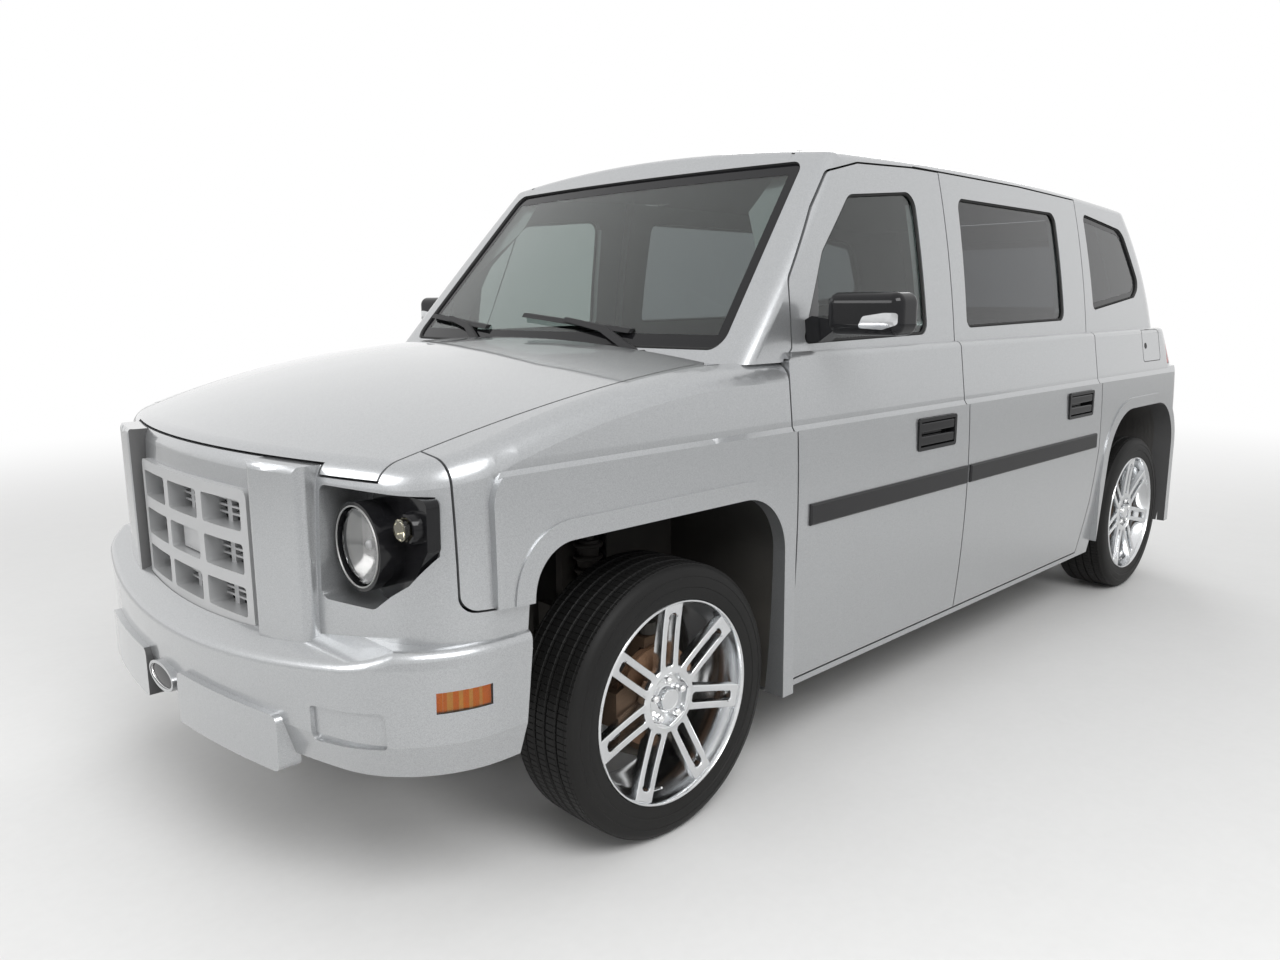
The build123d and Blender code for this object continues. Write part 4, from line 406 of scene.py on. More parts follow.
def door_trim_plastic():
    """Gloss black on the door handles and satin charcoal on the side moulding below them."""
    made, tree, shader = new_finish("door_trim_plastic")
    low = maths(tree, "LESS_THAN", object_place(tree)[3], HANDLE_LOW)
    value, height = grain(tree)
    gloss = blend_colour(tree, value, (0.009, 0.009, 0.010), (0.014, 0.014, 0.015))
    satin = blend_colour(tree, value, (0.014, 0.014, 0.015), (0.024, 0.024, 0.025))
    feed(shader, Base_Color=blend_colour(tree, low, gloss, satin),
         Roughness=blend_value(tree, low, HANDLE_ROUGHNESS, MOULDING_ROUGHNESS),
         Specular_IOR_Level=DIM_SHINE, Normal=relief(tree, height, *SOFT_RELIEF))
    return made


FINISH["side_lamp_plastic"] = side_lamp_plastic()
FINISH["door_trim_plastic"] = door_trim_plastic()
print("finishes so far:", len(FINISH))

# %% [markdown]
# ## Wheels with their discs, floors and the seat cloth
# The alloy wheels carry their brake discs in the same piece, so a mask picks the disc out by its
# distance from the axle and its place across the vehicle. The floor is ribbed rubber above and sealed
# steel below. The seat cloth is crossed sets of threads, read from Object coordinates.

# %% Masked finishes
AXLE_X = {"front": 1.575, "rear": -1.893}
WHEEL_HEIGHT = 0.396
DISC_RADIUS = 0.1455
DISC_OUTER_Y = 0.8975
WHEEL_GRAIN = 140.0
POLISH_ROUGHNESS = 0.17
RUST_ROUGHNESS = 0.6
RUST_METAL = 0.55
RIB_SCALE = 16.0
UPWARD = 0.3
THREAD_SCALE = 160.0
SHEEN = 0.25


def alloy_with_disc(end):
    """Polished alloy, with a rusty brake disc in place of it near the axle."""
    made, tree, shader = new_finish("alloy_" + end)
    _, along, across, height = object_place(tree)
    ahead = maths(tree, "SUBTRACT", along, AXLE_X[end])
    above = maths(tree, "SUBTRACT", height, WHEEL_HEIGHT)
    squares = [maths(tree, "MULTIPLY", part, part) for part in (ahead, above)]
    near = maths(tree, "LESS_THAN", maths(tree, "SQRT", maths(tree, "ADD", *squares)), DISC_RADIUS)
    inboard = maths(tree, "LESS_THAN", maths(tree, "ABSOLUTE", across), DISC_OUTER_Y)
    disc = maths(tree, "MULTIPLY", near, inboard)
    value, height = grain(tree, WHEEL_GRAIN)
    polish = blend_colour(tree, value, (0.60, 0.61, 0.62), (0.80, 0.81, 0.82))
    rust = blend_colour(tree, value, (0.10, 0.055, 0.03), (0.34, 0.20, 0.12))
    feed(shader, Base_Color=blend_colour(tree, disc, polish, rust),
         Roughness=blend_value(tree, disc, POLISH_ROUGHNESS, RUST_ROUGHNESS),
         Metallic=blend_value(tree, disc, 1.0, RUST_METAL), Normal=relief(tree, height, *SOFT_RELIEF))
    return made


def two_sided_floor():
    """Black ribbed rubber on top and grey sealed steel below."""
    made, tree, shader = new_finish("floor_cover")
    top = maths(tree, "GREATER_THAN", facing(tree)["Z"], UPWARD)
    value = grain(tree)[0]
    rubber = blend_colour(tree, value, (0.022, 0.022, 0.023), (0.045, 0.045, 0.046))
    steel = blend_colour(tree, value, (0.05, 0.05, 0.05), (0.09, 0.085, 0.08))
    ribs = add(tree, "ShaderNodeTexWave", {"Vector": object_place(tree)[0], "Scale": RIB_SCALE},
               bands_direction="Y")
    feed(shader, Base_Color=blend_colour(tree, top, steel, rubber),
         Roughness=blend_value(tree, value, 0.6, 0.8), Normal=relief(tree, ribs.outputs["Fac"], 0.4, 0.001))
    return made


def seat_cloth():
    """Woven seat cloth with crossed threads about two millimetres apart."""
    made, tree, shader = new_finish("seat_cloth")
    place = object_place(tree)[0]
    threads = [add(tree, "ShaderNodeTexWave", {"Vector": place, "Scale": THREAD_SCALE, "Distortion": 0.6},
                   bands_direction=direction).outputs["Fac"] for direction in "XYZ"]
    weave = maths(tree, "MULTIPLY", maths(tree, "ADD", threads[0], threads[2]), threads[1])
    value = grain(tree, 700.0)[0]
    tone = maths(tree, "MULTIPLY", maths(tree, "ADD", weave, value), 0.5)
    feed(shader, Base_Color=blend_colour(tree, tone, (0.035, 0.036, 0.040), (0.12, 0.12, 0.125)),
         Roughness=blend_value(tree, value, 0.8, 0.95), Sheen_Weight=SHEEN,
         Normal=relief(tree, weave, 0.5, 0.0004))
    return made


for end in AXLE_X:
    FINISH["alloy_" + end] = alloy_with_disc(end)
FINISH["floor_cover"] = two_sided_floor()
FINISH["seat_cloth"] = seat_cloth()
print("finishes in all:", len(FINISH))

# %% [markdown]
# ## Finishes for the CAD nodes
# Every node that shows gets its finish here, by name. The tyres and the seats' soft solids are left
# out, because detailed pieces take their place further down.

# %% Dress the nodes
NODE_FINISH = {
    "body_paint": ("side_frames", "roof_panel", "front_fenders", "front_fascia", "hood", "tailgate",
                   "rear_bumper", "firewall"),
    "chassis_black": ("chassis_frame", "rear_axle", "front_suspension", "seat_bases"),
    "underbody": ("front_wheelhouses", "fuel_tank", "powertrain_block"),
    "floor_cover": ("floor_pan",),
    "gloss_black": ("headlamp_housings", "radiator"),
    "satin_black": ("wipers",),
    "silver_plastic": ("grille",),
    "lamp_lens": ("headlamp_lenses",),
    "side_lamp_plastic": ("amber_lamps",),
    "red_lens": ("tail_lamps",),
    "clear_glass": ("windscreen",),
    "tinted_glass": ("quarter_windows", "tailgate_glass"),
    "bare_steel": ("exhaust",),
    "cabin_plastic": ("dashboard", "steering_wheel"),
    "ramp_alloy": ("ramp_cassette", "ramp_plate"),
}
SIDED_FINISH = {
    "body_paint": ("front_door_", "rear_door_"),
    "door_trim_plastic": ("front_door_trim_", "rear_door_trim_"),
    "gloss_black": ("door_mirror_",),
    "door_glass": ("front_door_glass_",),
    "tinted_glass": ("rear_door_glass_",),
    "cast_steel": ("knuckle_",),
    "alloy_front": ("front_rim_",),
    "alloy_rear": ("rear_rim_",),
}
dressed = [(finish, name) for finish, names in NODE_FINISH.items() for name in names]
for finish, stems in SIDED_FINISH.items():
    dressed += [(finish, stem + side) for stem in stems for side, _ in SIDES]
for finish, name in dressed:
    for slot in NODES[name].material_slots:
        slot.material = FINISH[finish]
print("dressed", len(dressed), "nodes")

# %% [markdown]
# ## How new pieces are made
# A piece starts as a bmesh, which becomes an object at the origin that rides on a CAD body. Its faces
# are turned outward, and only edges sharper than a set angle stay sharp, which shades a rounded
# pressing softly and a machined edge crisply.

# %% Piece helper
PIECES = {}
WELD = 0.000001


def as_object(name, bm, finish, sharp=38):
    """An object at the origin from a bmesh, with one finish."""
    bmesh.ops.remove_doubles(bm, verts=bm.verts, dist=WELD)
    bmesh.ops.recalc_face_normals(bm, faces=bm.faces)
    mesh = bpy.data.meshes.new(name)
    bm.to_mesh(mesh)
    bm.free()
    mesh.polygons.foreach_set("use_smooth", [True] * len(mesh.polygons))
    mesh.set_sharp_from_angle(angle=radians(sharp))
    made = bpy.data.objects.new(name, mesh)
    bpy.context.scene.collection.objects.link(made)
    mesh.materials.append(FINISH[finish])
    return made


def piece(name, bm, finish, body="body", sharp=38):
    """A finished piece that rides on a body."""
    made = as_object(name, bm, finish, sharp)
    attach(made, body)
    PIECES[name] = made
    return made


def joined(*parts):
    """Several bmeshes in one."""
    whole = bmesh.new()
    for part in parts:
        mesh = bpy.data.meshes.new("part")
        part.to_mesh(mesh)
        part.free()
        whole.from_mesh(mesh)
        bpy.data.meshes.remove(mesh)
    return whole


print("piece helper is ready")

# %% [markdown]
# ## Basic forms
# Small helpers shift, stretch, turn, round or mirror a whole bmesh and hand it back, so that they can
# be called one inside another. Balls, rounded boxes and turned shapes start from Blender's operators.

# %% Form helpers
def shift(bm, vec):
    """Move the whole bmesh and return it."""
    bmesh.ops.translate(bm, vec=vec, verts=bm.verts)
    return bm


def stretch(bm, vec):
    """Scale the whole bmesh along the three axes and return it."""
    bmesh.ops.scale(bm, vec=vec, verts=bm.verts)
    return bm


def turn(bm, angle, axis):
    """Turn the whole bmesh about the origin and return it."""
    bmesh.ops.rotate(bm, cent=(0, 0, 0), matrix=Matrix.Rotation(angle, 3, axis), verts=bm.verts)
    return bm


def round_edges(bm, edges, width, segments):
    """Bevel some edges with a round profile and return the bmesh."""
    bmesh.ops.bevel(bm, geom=edges, offset=width, segments=segments, profile=0.5, affect="EDGES", material=-1)
    return bm


def flip_side(bm, side):
    """The same bmesh on the vehicle's right when side is -1."""
    return stretch(bm, (1, -1, 1)) if side < 0 else bm


def ball(half, place, around=16):
    """A ball or a flattened ball with three half sizes."""
    bm = bmesh.new()
    bmesh.ops.create_uvsphere(bm, u_segments=around, v_segments=around // 2, radius=1.0)
    return shift(stretch(bm, half), place)


def plate(low, high, bevel, segments=3):
    """A box between two corners in metres, with rounded edges."""
    low, high = Vector(low), Vector(high)
    bm = bmesh.new()
    bmesh.ops.create_cube(bm, size=1.0)
    shift(stretch(bm, high - low), (low + high) / 2)
    return round_edges(bm, bm.edges[:], bevel, segments)


def spin_about(bm, geom, axis, steps):
    """Spin edges a full turn about an axis through the origin, and weld the poles."""
    bmesh.ops.spin(bm, geom=geom, cent=(0, 0, 0), axis=axis, angle=2 * pi, steps=steps, use_merge=True)
    bmesh.ops.remove_doubles(bm, verts=bm.verts, dist=0.00001)
    return bm


def final_mesh(holder):
    """An object's mesh after its modifiers."""
    return bpy.data.meshes.new_from_object(holder.evaluated_get(bpy.context.evaluated_depsgraph_get()))


print("form helpers are ready")

# %% [markdown]
# ## Pieces that lie on a surface
# Gaskets, painted glass borders, flaps and lens covers all follow a curved panel. Each starts as a flat
# rounded outline in millimetres, which is cut into a grid by bisecting planes so that it can bend.

# %% Flat outlines
def rounded_face(rows, view):
    """A flat face on an outline whose rows are two coordinates and a corner radius, all in millimetres."""
    bm = bmesh.new()
    places = {"side": lambda a, b: (a, 0, b), "front": lambda a, b: (0, a, b), "top": lambda a, b: (a, b, 0)}
    corners = [bm.verts.new(Vector(places[view](a, b)) * MM) for a, b, _ in rows]
    bm.faces.new(corners)
    count = len(rows)
    for index, (_, _, radius) in enumerate(rows):
        if not radius:
            continue
        here = Vector(rows[index][:2])
        before = Vector(rows[index - 1][:2]) - here
        after = Vector(rows[(index + 1) % count][:2]) - here
        slide = radius / tan(before.angle(after) / 2)
        bmesh.ops.bevel(bm, geom=[corners[index]], offset=slide * MM, offset_type="OFFSET", segments=7,
                        profile=0.5, affect="VERTICES", material=-1)
    return bm


def shrink(bm, margin, keep_band=False):
    """Inset the whole face by a margin in millimetres, and keep either its middle or the band round it."""
    middle = bm.faces[:]
    band = bmesh.ops.inset_region(bm, faces=middle, thickness=margin * MM, use_boundary=True,
                                  use_even_offset=True)["faces"]
    bmesh.ops.delete(bm, geom=middle if keep_band else band, context="FACES")
    return bm


def cut_grid(bm, step):
    """Cut a flat sheet by planes a step apart, in millimetres, along each axis that it spans."""
    for axis in range(3):
        low = min(v.co[axis] for v in bm.verts)
        high = max(v.co[axis] for v in bm.verts)
        count = int((high - low) / (step * MM))
        normal = Vector((0, 0, 0))
        normal[axis] = 1
        for index in range(1, count + 1):
            place = Vector((0, 0, 0))
            place[axis] = low + (high - low) * index / (count + 1)
            geom = bm.verts[:] + bm.edges[:] + bm.faces[:]
            bmesh.ops.bisect_plane(bm, geom=geom, plane_co=place, plane_no=normal, dist=WELD)
    return bm


def four_corners(across, high, wide, tall, radius):
    """The outline of a rounded rectangle from its middle and half sizes."""
    return [(across + i * wide, high + j * tall, radius) for i, j in ((-1, -1), (-1, 1), (1, 1), (1, -1))]


print("outline helpers are ready")

# %% [markdown]
# A sheet is then draped: every point goes along one direction until it meets the panel. Extruding the
# sheet gives it its thickness.

# %% Draping helpers
RAY_START = 3.0
SIDE_START = 0.9


def surface_of(*names):
    """A surface that rays can meet, from CAD nodes."""
    points, faces = [], []
    for name in names:
        mesh = NODES[name].data
        start = len(points)
        points += [v.co.copy() for v in mesh.vertices]
        faces += [[start + i for i in p.vertices] for p in mesh.polygons]
    return BVHTree.FromPolygons(points, faces)


def thicken(bm, vec):
    """Extrude a sheet by a vector."""
    grown = bmesh.ops.extrude_face_region(bm, geom=bm.faces[:])["geom"]
    raised = [g for g in grown if isinstance(g, bmesh.types.BMVert)]
    bmesh.ops.translate(bm, vec=vec, verts=raised)
    return bm


def drape(bm, surface, direction, lift, thick):
    """Send a flat sheet along a direction onto a surface, then thicken it back towards where it came from."""
    direction = Vector(direction)
    missed = 0
    for v in bm.verts:
        hit = surface.ray_cast(v.co - direction * RAY_START, direction)[0]
        if hit is None:
            hit = surface.find_nearest(v.co - direction * SIDE_START)[0]
            missed += 1
        v.co = hit - direction * lift * MM
    if missed:
        print("points off the surface:", missed)
    return thicken(bm, direction * -thick * MM)


def laid(rows, view, surface, direction, lift, thick, step=40):
    """A thin plate of one outline, laid on a surface."""
    return drape(cut_grid(rounded_face(rows, view), step), surface, direction, lift, thick)


print("draping helpers are ready")

# %% [markdown]
# ## Tyres
# A low-profile road tyre is a turned shape with its tread cut into it. A closed outline is spun round
# the axle. The faces of each tread rib are then inset one by one, with the inner part raised, which
# leaves sloped grooves round every block. The side walls carry plain rings and no lettering.

# %% Tyre
TYRE_MIDDLE_Y = 0.857
TREAD_STEPS = 132
BLOCK_SLOPE = 0.0016
BLOCK_RISE = 0.0022
CREASE = 30
# Tyre outline from the inner bead round to the outer one. Columns: across from the middle, radius.
TYRE_OUTLINE = (
    (-0.1095, 0.2875), (-0.1185, 0.300), (-0.1235, 0.322), (-0.1240, 0.345), (-0.1225, 0.360),
    (-0.1195, 0.373), (-0.1130, 0.3835), (-0.1040, 0.3895), (-0.0940, 0.3915),
    (-0.0680, 0.3922), (-0.0665, 0.3865), (-0.0585, 0.3865), (-0.0570, 0.3925),
    (-0.0250, 0.3932), (-0.0235, 0.3870), (-0.0155, 0.3870), (-0.0140, 0.3934),
    (0.0140, 0.3934), (0.0155, 0.3870), (0.0235, 0.3870), (0.0250, 0.3932),
    (0.0570, 0.3925), (0.0585, 0.3865), (0.0665, 0.3865), (0.0680, 0.3922),
    (0.0940, 0.3915), (0.1040, 0.3895), (0.1130, 0.3835), (0.1195, 0.373),
    (0.1225, 0.360), (0.1210, 0.3575), (0.1240, 0.345), (0.1238, 0.330), (0.1215, 0.3275),
    (0.1225, 0.315), (0.1180, 0.300), (0.1180, 0.2965), (0.1145, 0.2935), (0.1095, 0.2875),
    (0.0740, 0.2870), (-0.0740, 0.2870),
)
RIB_RADIUS = 0.3885
RIB_HALF_WIDTH = 0.1135


def tyre():
    """One tyre about its axle, its outer wall to the left."""
    bm = bmesh.new()
    corners = [bm.verts.new((0, TYRE_MIDDLE_Y + across, radius)) for across, radius in TYRE_OUTLINE]
    loop = [bm.edges.new((corners[i - 1], corners[i])) for i in range(len(corners))]
    spin_about(bm, corners + loop, (0, 1, 0), TREAD_STEPS)
    bmesh.ops.recalc_face_normals(bm, faces=bm.faces)
    ribs = []
    for face in bm.faces:
        middle = face.calc_center_median()
        radius = Vector((middle.x, 0, middle.z)).length
        if radius > RIB_RADIUS and abs(middle.y - TYRE_MIDDLE_Y) < RIB_HALF_WIDTH:
            ribs.append(face)
    bmesh.ops.inset_individual(bm, faces=ribs, thickness=BLOCK_SLOPE, depth=BLOCK_RISE, use_even_offset=True)
    return bm


def on_wheels(label, build, finish, sharp=38):
    """A piece on each wheel, built about the axle and mirrored on the right, by the wheel's end and side."""
    made = {}
    for end, axle_x in AXLE_X.items():
        for side, sign in SIDES:
            bm = shift(flip_side(build(), sign), (axle_x, 0, WHEEL_HEIGHT))
            body = side + "_" + end + "_wheel"
            made[end, side] = piece(end + label + side, bm, finish.format(end), body, sharp)
    return made


for (end, side), made in on_wheels("_tread_", tyre, "tyre_rubber", CREASE).items():
    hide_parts(end + "_tyre_" + side)
print("each tyre has", len(made.data.polygons), "faces")

# %% [markdown]
# ## Alloy wheels
# Each wheel is one polished casting: a barrel with a thin lip, a dished hub and seven pairs of spokes.
# The barrel and hub are outlines spun about the axle. A pair of spokes is a flat outline with a slot,
# filled, thickened, rounded along its front edges and bowed outward, then copied by a loop. The vented
# brake disc behind turns with the wheel, so it is part of the same piece.

# %% Alloy wheel
PAIR_COUNT = 7
# Outlines about the axle, all in millimetres. Columns: radius, Y.
WHEEL_BARREL = (
    (294, 966), (294, 973), (291.5, 977), (287.5, 977.5), (285, 974), (283, 962), (279, 948), (269, 925),
    (261, 895), (258, 855), (261, 800), (274, 752), (283, 738), (290, 734.5), (294, 738), (293, 746),
    (286, 751), (279, 762), (266, 805), (263, 857), (266, 898), (274, 926), (283, 948), (286.5, 960),
)
WHEEL_HUB = (
    (0, 900), (70, 900), (88, 906), (99, 918), (101, 936), (99, 945), (95, 949), (81, 951), (78.5, 949.5),
    (76.5, 942), (74, 931), (42, 928), (35, 931), (33.5, 948), (31.5, 952), (28, 952.5), (26, 951), (0, 951),
)
BRAKE_DISC = ((60, 870), (145, 870), (145, 879), (132, 880), (132, 886), (145, 887), (145, 896), (60, 896))
DISC_HAT = ((0, 878), (68, 878), (69, 896), (66, 899), (0, 899))
# One pair of spokes that points up from the axle, and the slot between the two. Columns: X, Z, corner radius.
SPOKE_PAIR = ((-36, 70, 0), (-35, 286, 0), (35, 286, 0), (36, 70, 0))
SPOKE_SLOT = ((-15, 96, 14), (-14.5, 256, 11), (14.5, 256, 11), (15, 96, 14))
SPOKE_DEPTH = 0.034
SPOKE_ROUND = 0.0045
SPOKE_FACE_Y = 0.949
SPOKE_BOW = 0.019
BOW_POWER = 1.6
SPOKE_THINNING = 0.3
SPOKE_ROOT = 0.09
SPOKE_REACH = 0.195
SPOKE_GRID = 22


def spun(outline, steps=96):
    """Spin a closed outline of radius and Y, in millimetres, about the axle."""
    bm = bmesh.new()
    corners = [bm.verts.new((0, y * MM, radius * MM)) for radius, y in outline]
    loop = [bm.edges.new((corners[i - 1], corners[i])) for i in range(len(corners))
            if i or outline[0][0] or outline[-1][0]]
    return spin_about(bm, corners + loop, (0, 1, 0), steps)


def spoke_pair():
    """One slotted plate with rounded front edges, bowed outward towards the rim."""
    bm = joined(rounded_face(SPOKE_PAIR, "side"), rounded_face(SPOKE_SLOT, "side"))
    bmesh.ops.delete(bm, geom=bm.faces[:], context="FACES_ONLY")
    bmesh.ops.triangle_fill(bm, use_beauty=True, use_dissolve=False, edges=bm.edges[:], normal=(0, 1, 0))
    thicken(cut_grid(bm, SPOKE_GRID), (0, SPOKE_DEPTH, 0))
    bmesh.ops.recalc_face_normals(bm, faces=bm.faces)
    front = [e for e in bm.edges if min(v.co.y for v in e.verts) > SPOKE_DEPTH / 2]
    round_edges(bm, [e for e in front if e.calc_face_angle(0) > 1], SPOKE_ROUND, 3)
    for v in bm.verts:
        along = max(0.0, (Vector((v.co.x, 0, v.co.z)).length - SPOKE_ROOT) / SPOKE_REACH)
        depth = (v.co.y - SPOKE_DEPTH) * (1.0 - SPOKE_THINNING * along)
        v.co.y = SPOKE_FACE_Y + SPOKE_BOW * along ** BOW_POWER + depth
    return bm


def alloy_wheel():
    """The whole casting with its brake disc."""
    parts = [spun(WHEEL_BARREL), spun(WHEEL_HUB), spun(BRAKE_DISC, 72), spun(DISC_HAT, 48)]
    pair = spoke_pair()
    parts += [turn(pair.copy(), 2 * pi * index / PAIR_COUNT, "Y") for index in range(PAIR_COUNT)]
    pair.free()
    return joined(*parts)


for (end, side), made in on_wheels("_alloy_", alloy_wheel, "alloy_{}", CREASE).items():
    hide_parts(end + "_rim_" + side)
print("each alloy wheel has", len(made.data.polygons), "faces")

# %% [markdown]
# ## Wheel nuts and valves
# Five chrome nuts sit on each hub and a valve stands in the rim. A nut is a six-sided bevelled bar
# with a flattened ball for its cap, and a loop repeats it round the lug circle.

# %% Wheel nuts
LUG_CIRCLE = 0.05715
NUT_COUNT = 5
HUB_FACE_Y = 0.929
NUT_RADII = (0.0125, 0.0122)
NUT_LENGTH = 0.020
NUT_ROUND = 0.0012
CAP_HALF = (0.0105, 0.0105, 0.007875)
CAP_PLACE = (0, 0, 0.009)
VALVE_RADII = (0.0045, 0.0032)
VALVE_LENGTH = 0.034
VALVE_LEAN = -60
VALVE_PLACE = (0.055, 0.955, -0.246)


def cone(sides, radii, length):
    """A bar about Z whose two ends have their own radius."""
    bm = bmesh.new()
    bmesh.ops.create_cone(bm, cap_ends=True, segments=sides, radius1=radii[0], radius2=radii[1], depth=length)
    return bm


def wheel_nuts():
    """The five nuts of one wheel, with its valve."""
    parts = []
    for index in range(NUT_COUNT):
        angle = 2 * pi * index / NUT_COUNT
        nut = cone(6, NUT_RADII, NUT_LENGTH)
        round_edges(nut, nut.edges[:], NUT_ROUND, 2)
        place = (LUG_CIRCLE * sin(angle), HUB_FACE_Y + NUT_LENGTH / 2, LUG_CIRCLE * cos(angle))
        parts.append(shift(turn(joined(nut, ball(CAP_HALF, CAP_PLACE)), radians(-90), "X"), place))
    valve = cone(14, VALVE_RADII, VALVE_LENGTH)
    return joined(*parts, shift(turn(valve, radians(VALVE_LEAN), "X"), VALVE_PLACE))


on_wheels("_nuts_", wheel_nuts, "chrome")
print("nuts on each wheel:", NUT_COUNT)

# %% [markdown]
# ## Window borders and gaskets
# Each pane has a black ceramic border, which hides the glue of a fixed one, and a rubber gasket round
# its edge. The border is a band draped on the glass. The gasket is a thin round bead along the same
# outline, made as a curve with a bevel and turned into a mesh.

# %% Window tables
# Window outlines. Columns: X, Z, corner radius.
FRONT_WINDOW = ((968, 1366, 22), (830, 1650, 90), (640, 1840, 70), (206, 1880, 60), (192, 1376, 45))
REAR_WINDOW = ((-115, 1392, 35), (-123, 1881, 45), (-1050, 1879, 55), (-1062, 1405, 45))
QUARTER_WINDOW = ((-1415, 1446, 30), (-1385, 1898, 35), (-1890, 1842, 130), (-2070, 1565, 60),
                  (-1985, 1506, 50))
# The two end windows. Columns: Y, Z, corner radius.
WINDSCREEN = ((-836, 1354, 45), (-748, 1948, 45), (748, 1948, 45), (836, 1354, 45))
TAIL_WINDOW = ((-545, 1420, 60), (-500, 1830, 70), (500, 1830, 70), (545, 1420, 60))
EDGE_MARGIN = 1.2
BORDER_GRID = 45
BEAD_STEP = 0.05


def glass_border(rows, view, surface, direction, width):
    """A painted border just inside a pane's edge."""
    bm = shrink(rounded_face(rows, view), EDGE_MARGIN)
    shrink(bm, width, keep_band=True)
    cut_grid(bm, BORDER_GRID)
    return drape(bm, surface, direction, 0.15, 0.5)


def gasket(rows, view, surface, direction, radius, inset):
    """A round rubber bead along a pane's edge."""
    flat = shrink(rounded_face(rows, view), inset)
    corners = [v.co.copy() for face in flat.faces for v in face.verts]
    flat.free()
    direction = Vector(direction)
    points = []
    for corner, following in zip(corners, corners[1:] + corners[:1]):
        steps = max(1, int((following - corner).length / BEAD_STEP))
        for step in range(steps):
            point = corner.lerp(following, step / steps)
            hit = surface.ray_cast(point - direction * RAY_START, direction)[0]
            if hit is not None:
                points.append(hit - direction * 0.5 * radius * MM)
    return tube(points, radius)


def tube(points, radius, resolution=2):
    """A round bar in a closed ring along points, its radius in millimetres."""
    curve = bpy.data.curves.new("bar", "CURVE")
    curve.dimensions = "3D"
    curve.bevel_depth = radius * MM
    curve.bevel_resolution = resolution
    spline = curve.splines.new("POLY")
    spline.points.add(len(points) - 1)
    for point, target in zip(spline.points, points):
        point.co = (*target, 1.0)
    spline.use_cyclic_u = True
    holder = bpy.data.objects.new("bar", curve)
    bpy.context.scene.collection.objects.link(holder)
    bpy.context.view_layer.update()
    mesh = final_mesh(holder)
    bm = bmesh.new()
    bm.from_mesh(mesh)
    bpy.data.meshes.remove(mesh)
    bpy.data.objects.remove(holder)
    bpy.data.curves.remove(curve)
    return bm


def pane_edge(label, rows, view, node, body, direction, border, bead, inset):
    """The border and the gasket of one pane."""
    surface = surface_of(node)
    band = glass_border(rows, view, surface, direction, border)
    piece(label.format("border"), band, "gloss_black", body)
    bar = gasket(rows, view, surface, direction, bead, inset)
    piece(label.format("gasket"), bar, "rubber_seal", body)


# %% Window borders
for side, sign in SIDES:
    # Columns: outline, name, node, body, border width, gasket radius.
    for rows, stem, node, body, border, bead in (
        (FRONT_WINDOW, "front_door_glass", "front_door_glass_" + side, side + "_front_door", 9, 6.0),
        (REAR_WINDOW, "rear_door_glass", "rear_door_glass_" + side, side + "_rear_door", 9, 6.0),
        (QUARTER_WINDOW, "quarter_windows", "quarter_windows", "body", 30, 3.5),
    ):
        pane_edge(stem + "_{}_" + side, rows, "side", node, body, (0, -sign, 0), border, bead, 4)
pane_edge("windscreen_{}", WINDSCREEN, "front", "windscreen", "body", (-1, 0, 0), 42, 4.5, 3)
pane_edge("tailgate_glass_{}", TAIL_WINDOW, "front", "tailgate_glass", "tailgate", (1, 0, 0), 34, 4.5, 3)
print("pieces so far:", len(PIECES))

# %% [markdown]
# ## Seats
# A foam seat under tight cloth crowns in its middle and pulls in at its seams. Each pad starts as a
# bevelled box, is remeshed evenly, and is blown up gently by the cloth solver with no gravity, as the
# foam does. The travel is capped, sewn channels are pressed in, and a cushion's underside is made flat.

# %% Padded seat forms
PRESSURE = 4.0
SIM_FRAMES = 20
SWELL_LIMIT = 0.012
SWELL_ROOM = 0.022
VOXEL = 0.010
PAD_ROUND = 0.30
SMOOTHING = 0.4


def voxel_mesh(holder, size):
    """Remesh an object evenly and return the new mesh."""
    change = holder.modifiers.new("even", "REMESH")
    change.mode = "VOXEL"
    change.voxel_size = size
    mesh = final_mesh(holder)
    holder.modifiers.clear()
    return mesh


def inflate(holder, cap):
    """Blow up an object's mesh with the cloth solver, no point moving further than cap."""
    cloth = holder.modifiers.new("foam", "CLOTH")
    cloth.settings.use_pressure = True
    cloth.settings.uniform_pressure_force = PRESSURE
    cloth.settings.effector_weights.gravity = 0.0
    cloth.settings.quality = 5
    scene = bpy.context.scene
    for number in range(1, SIM_FRAMES + 1):
        scene.frame_set(number)
    swollen = holder.evaluated_get(bpy.context.evaluated_depsgraph_get()).to_mesh()
    moved = [v.co.copy() for v in swollen.vertices]
    for v, target in zip(holder.data.vertices, moved):
        step = target - v.co
        if step.length > cap:
            step = step.normalized() * cap
        v.co = v.co + step
    holder.evaluated_get(bpy.context.evaluated_depsgraph_get()).to_mesh_clear()
    holder.modifiers.clear()
    scene.frame_set(1)


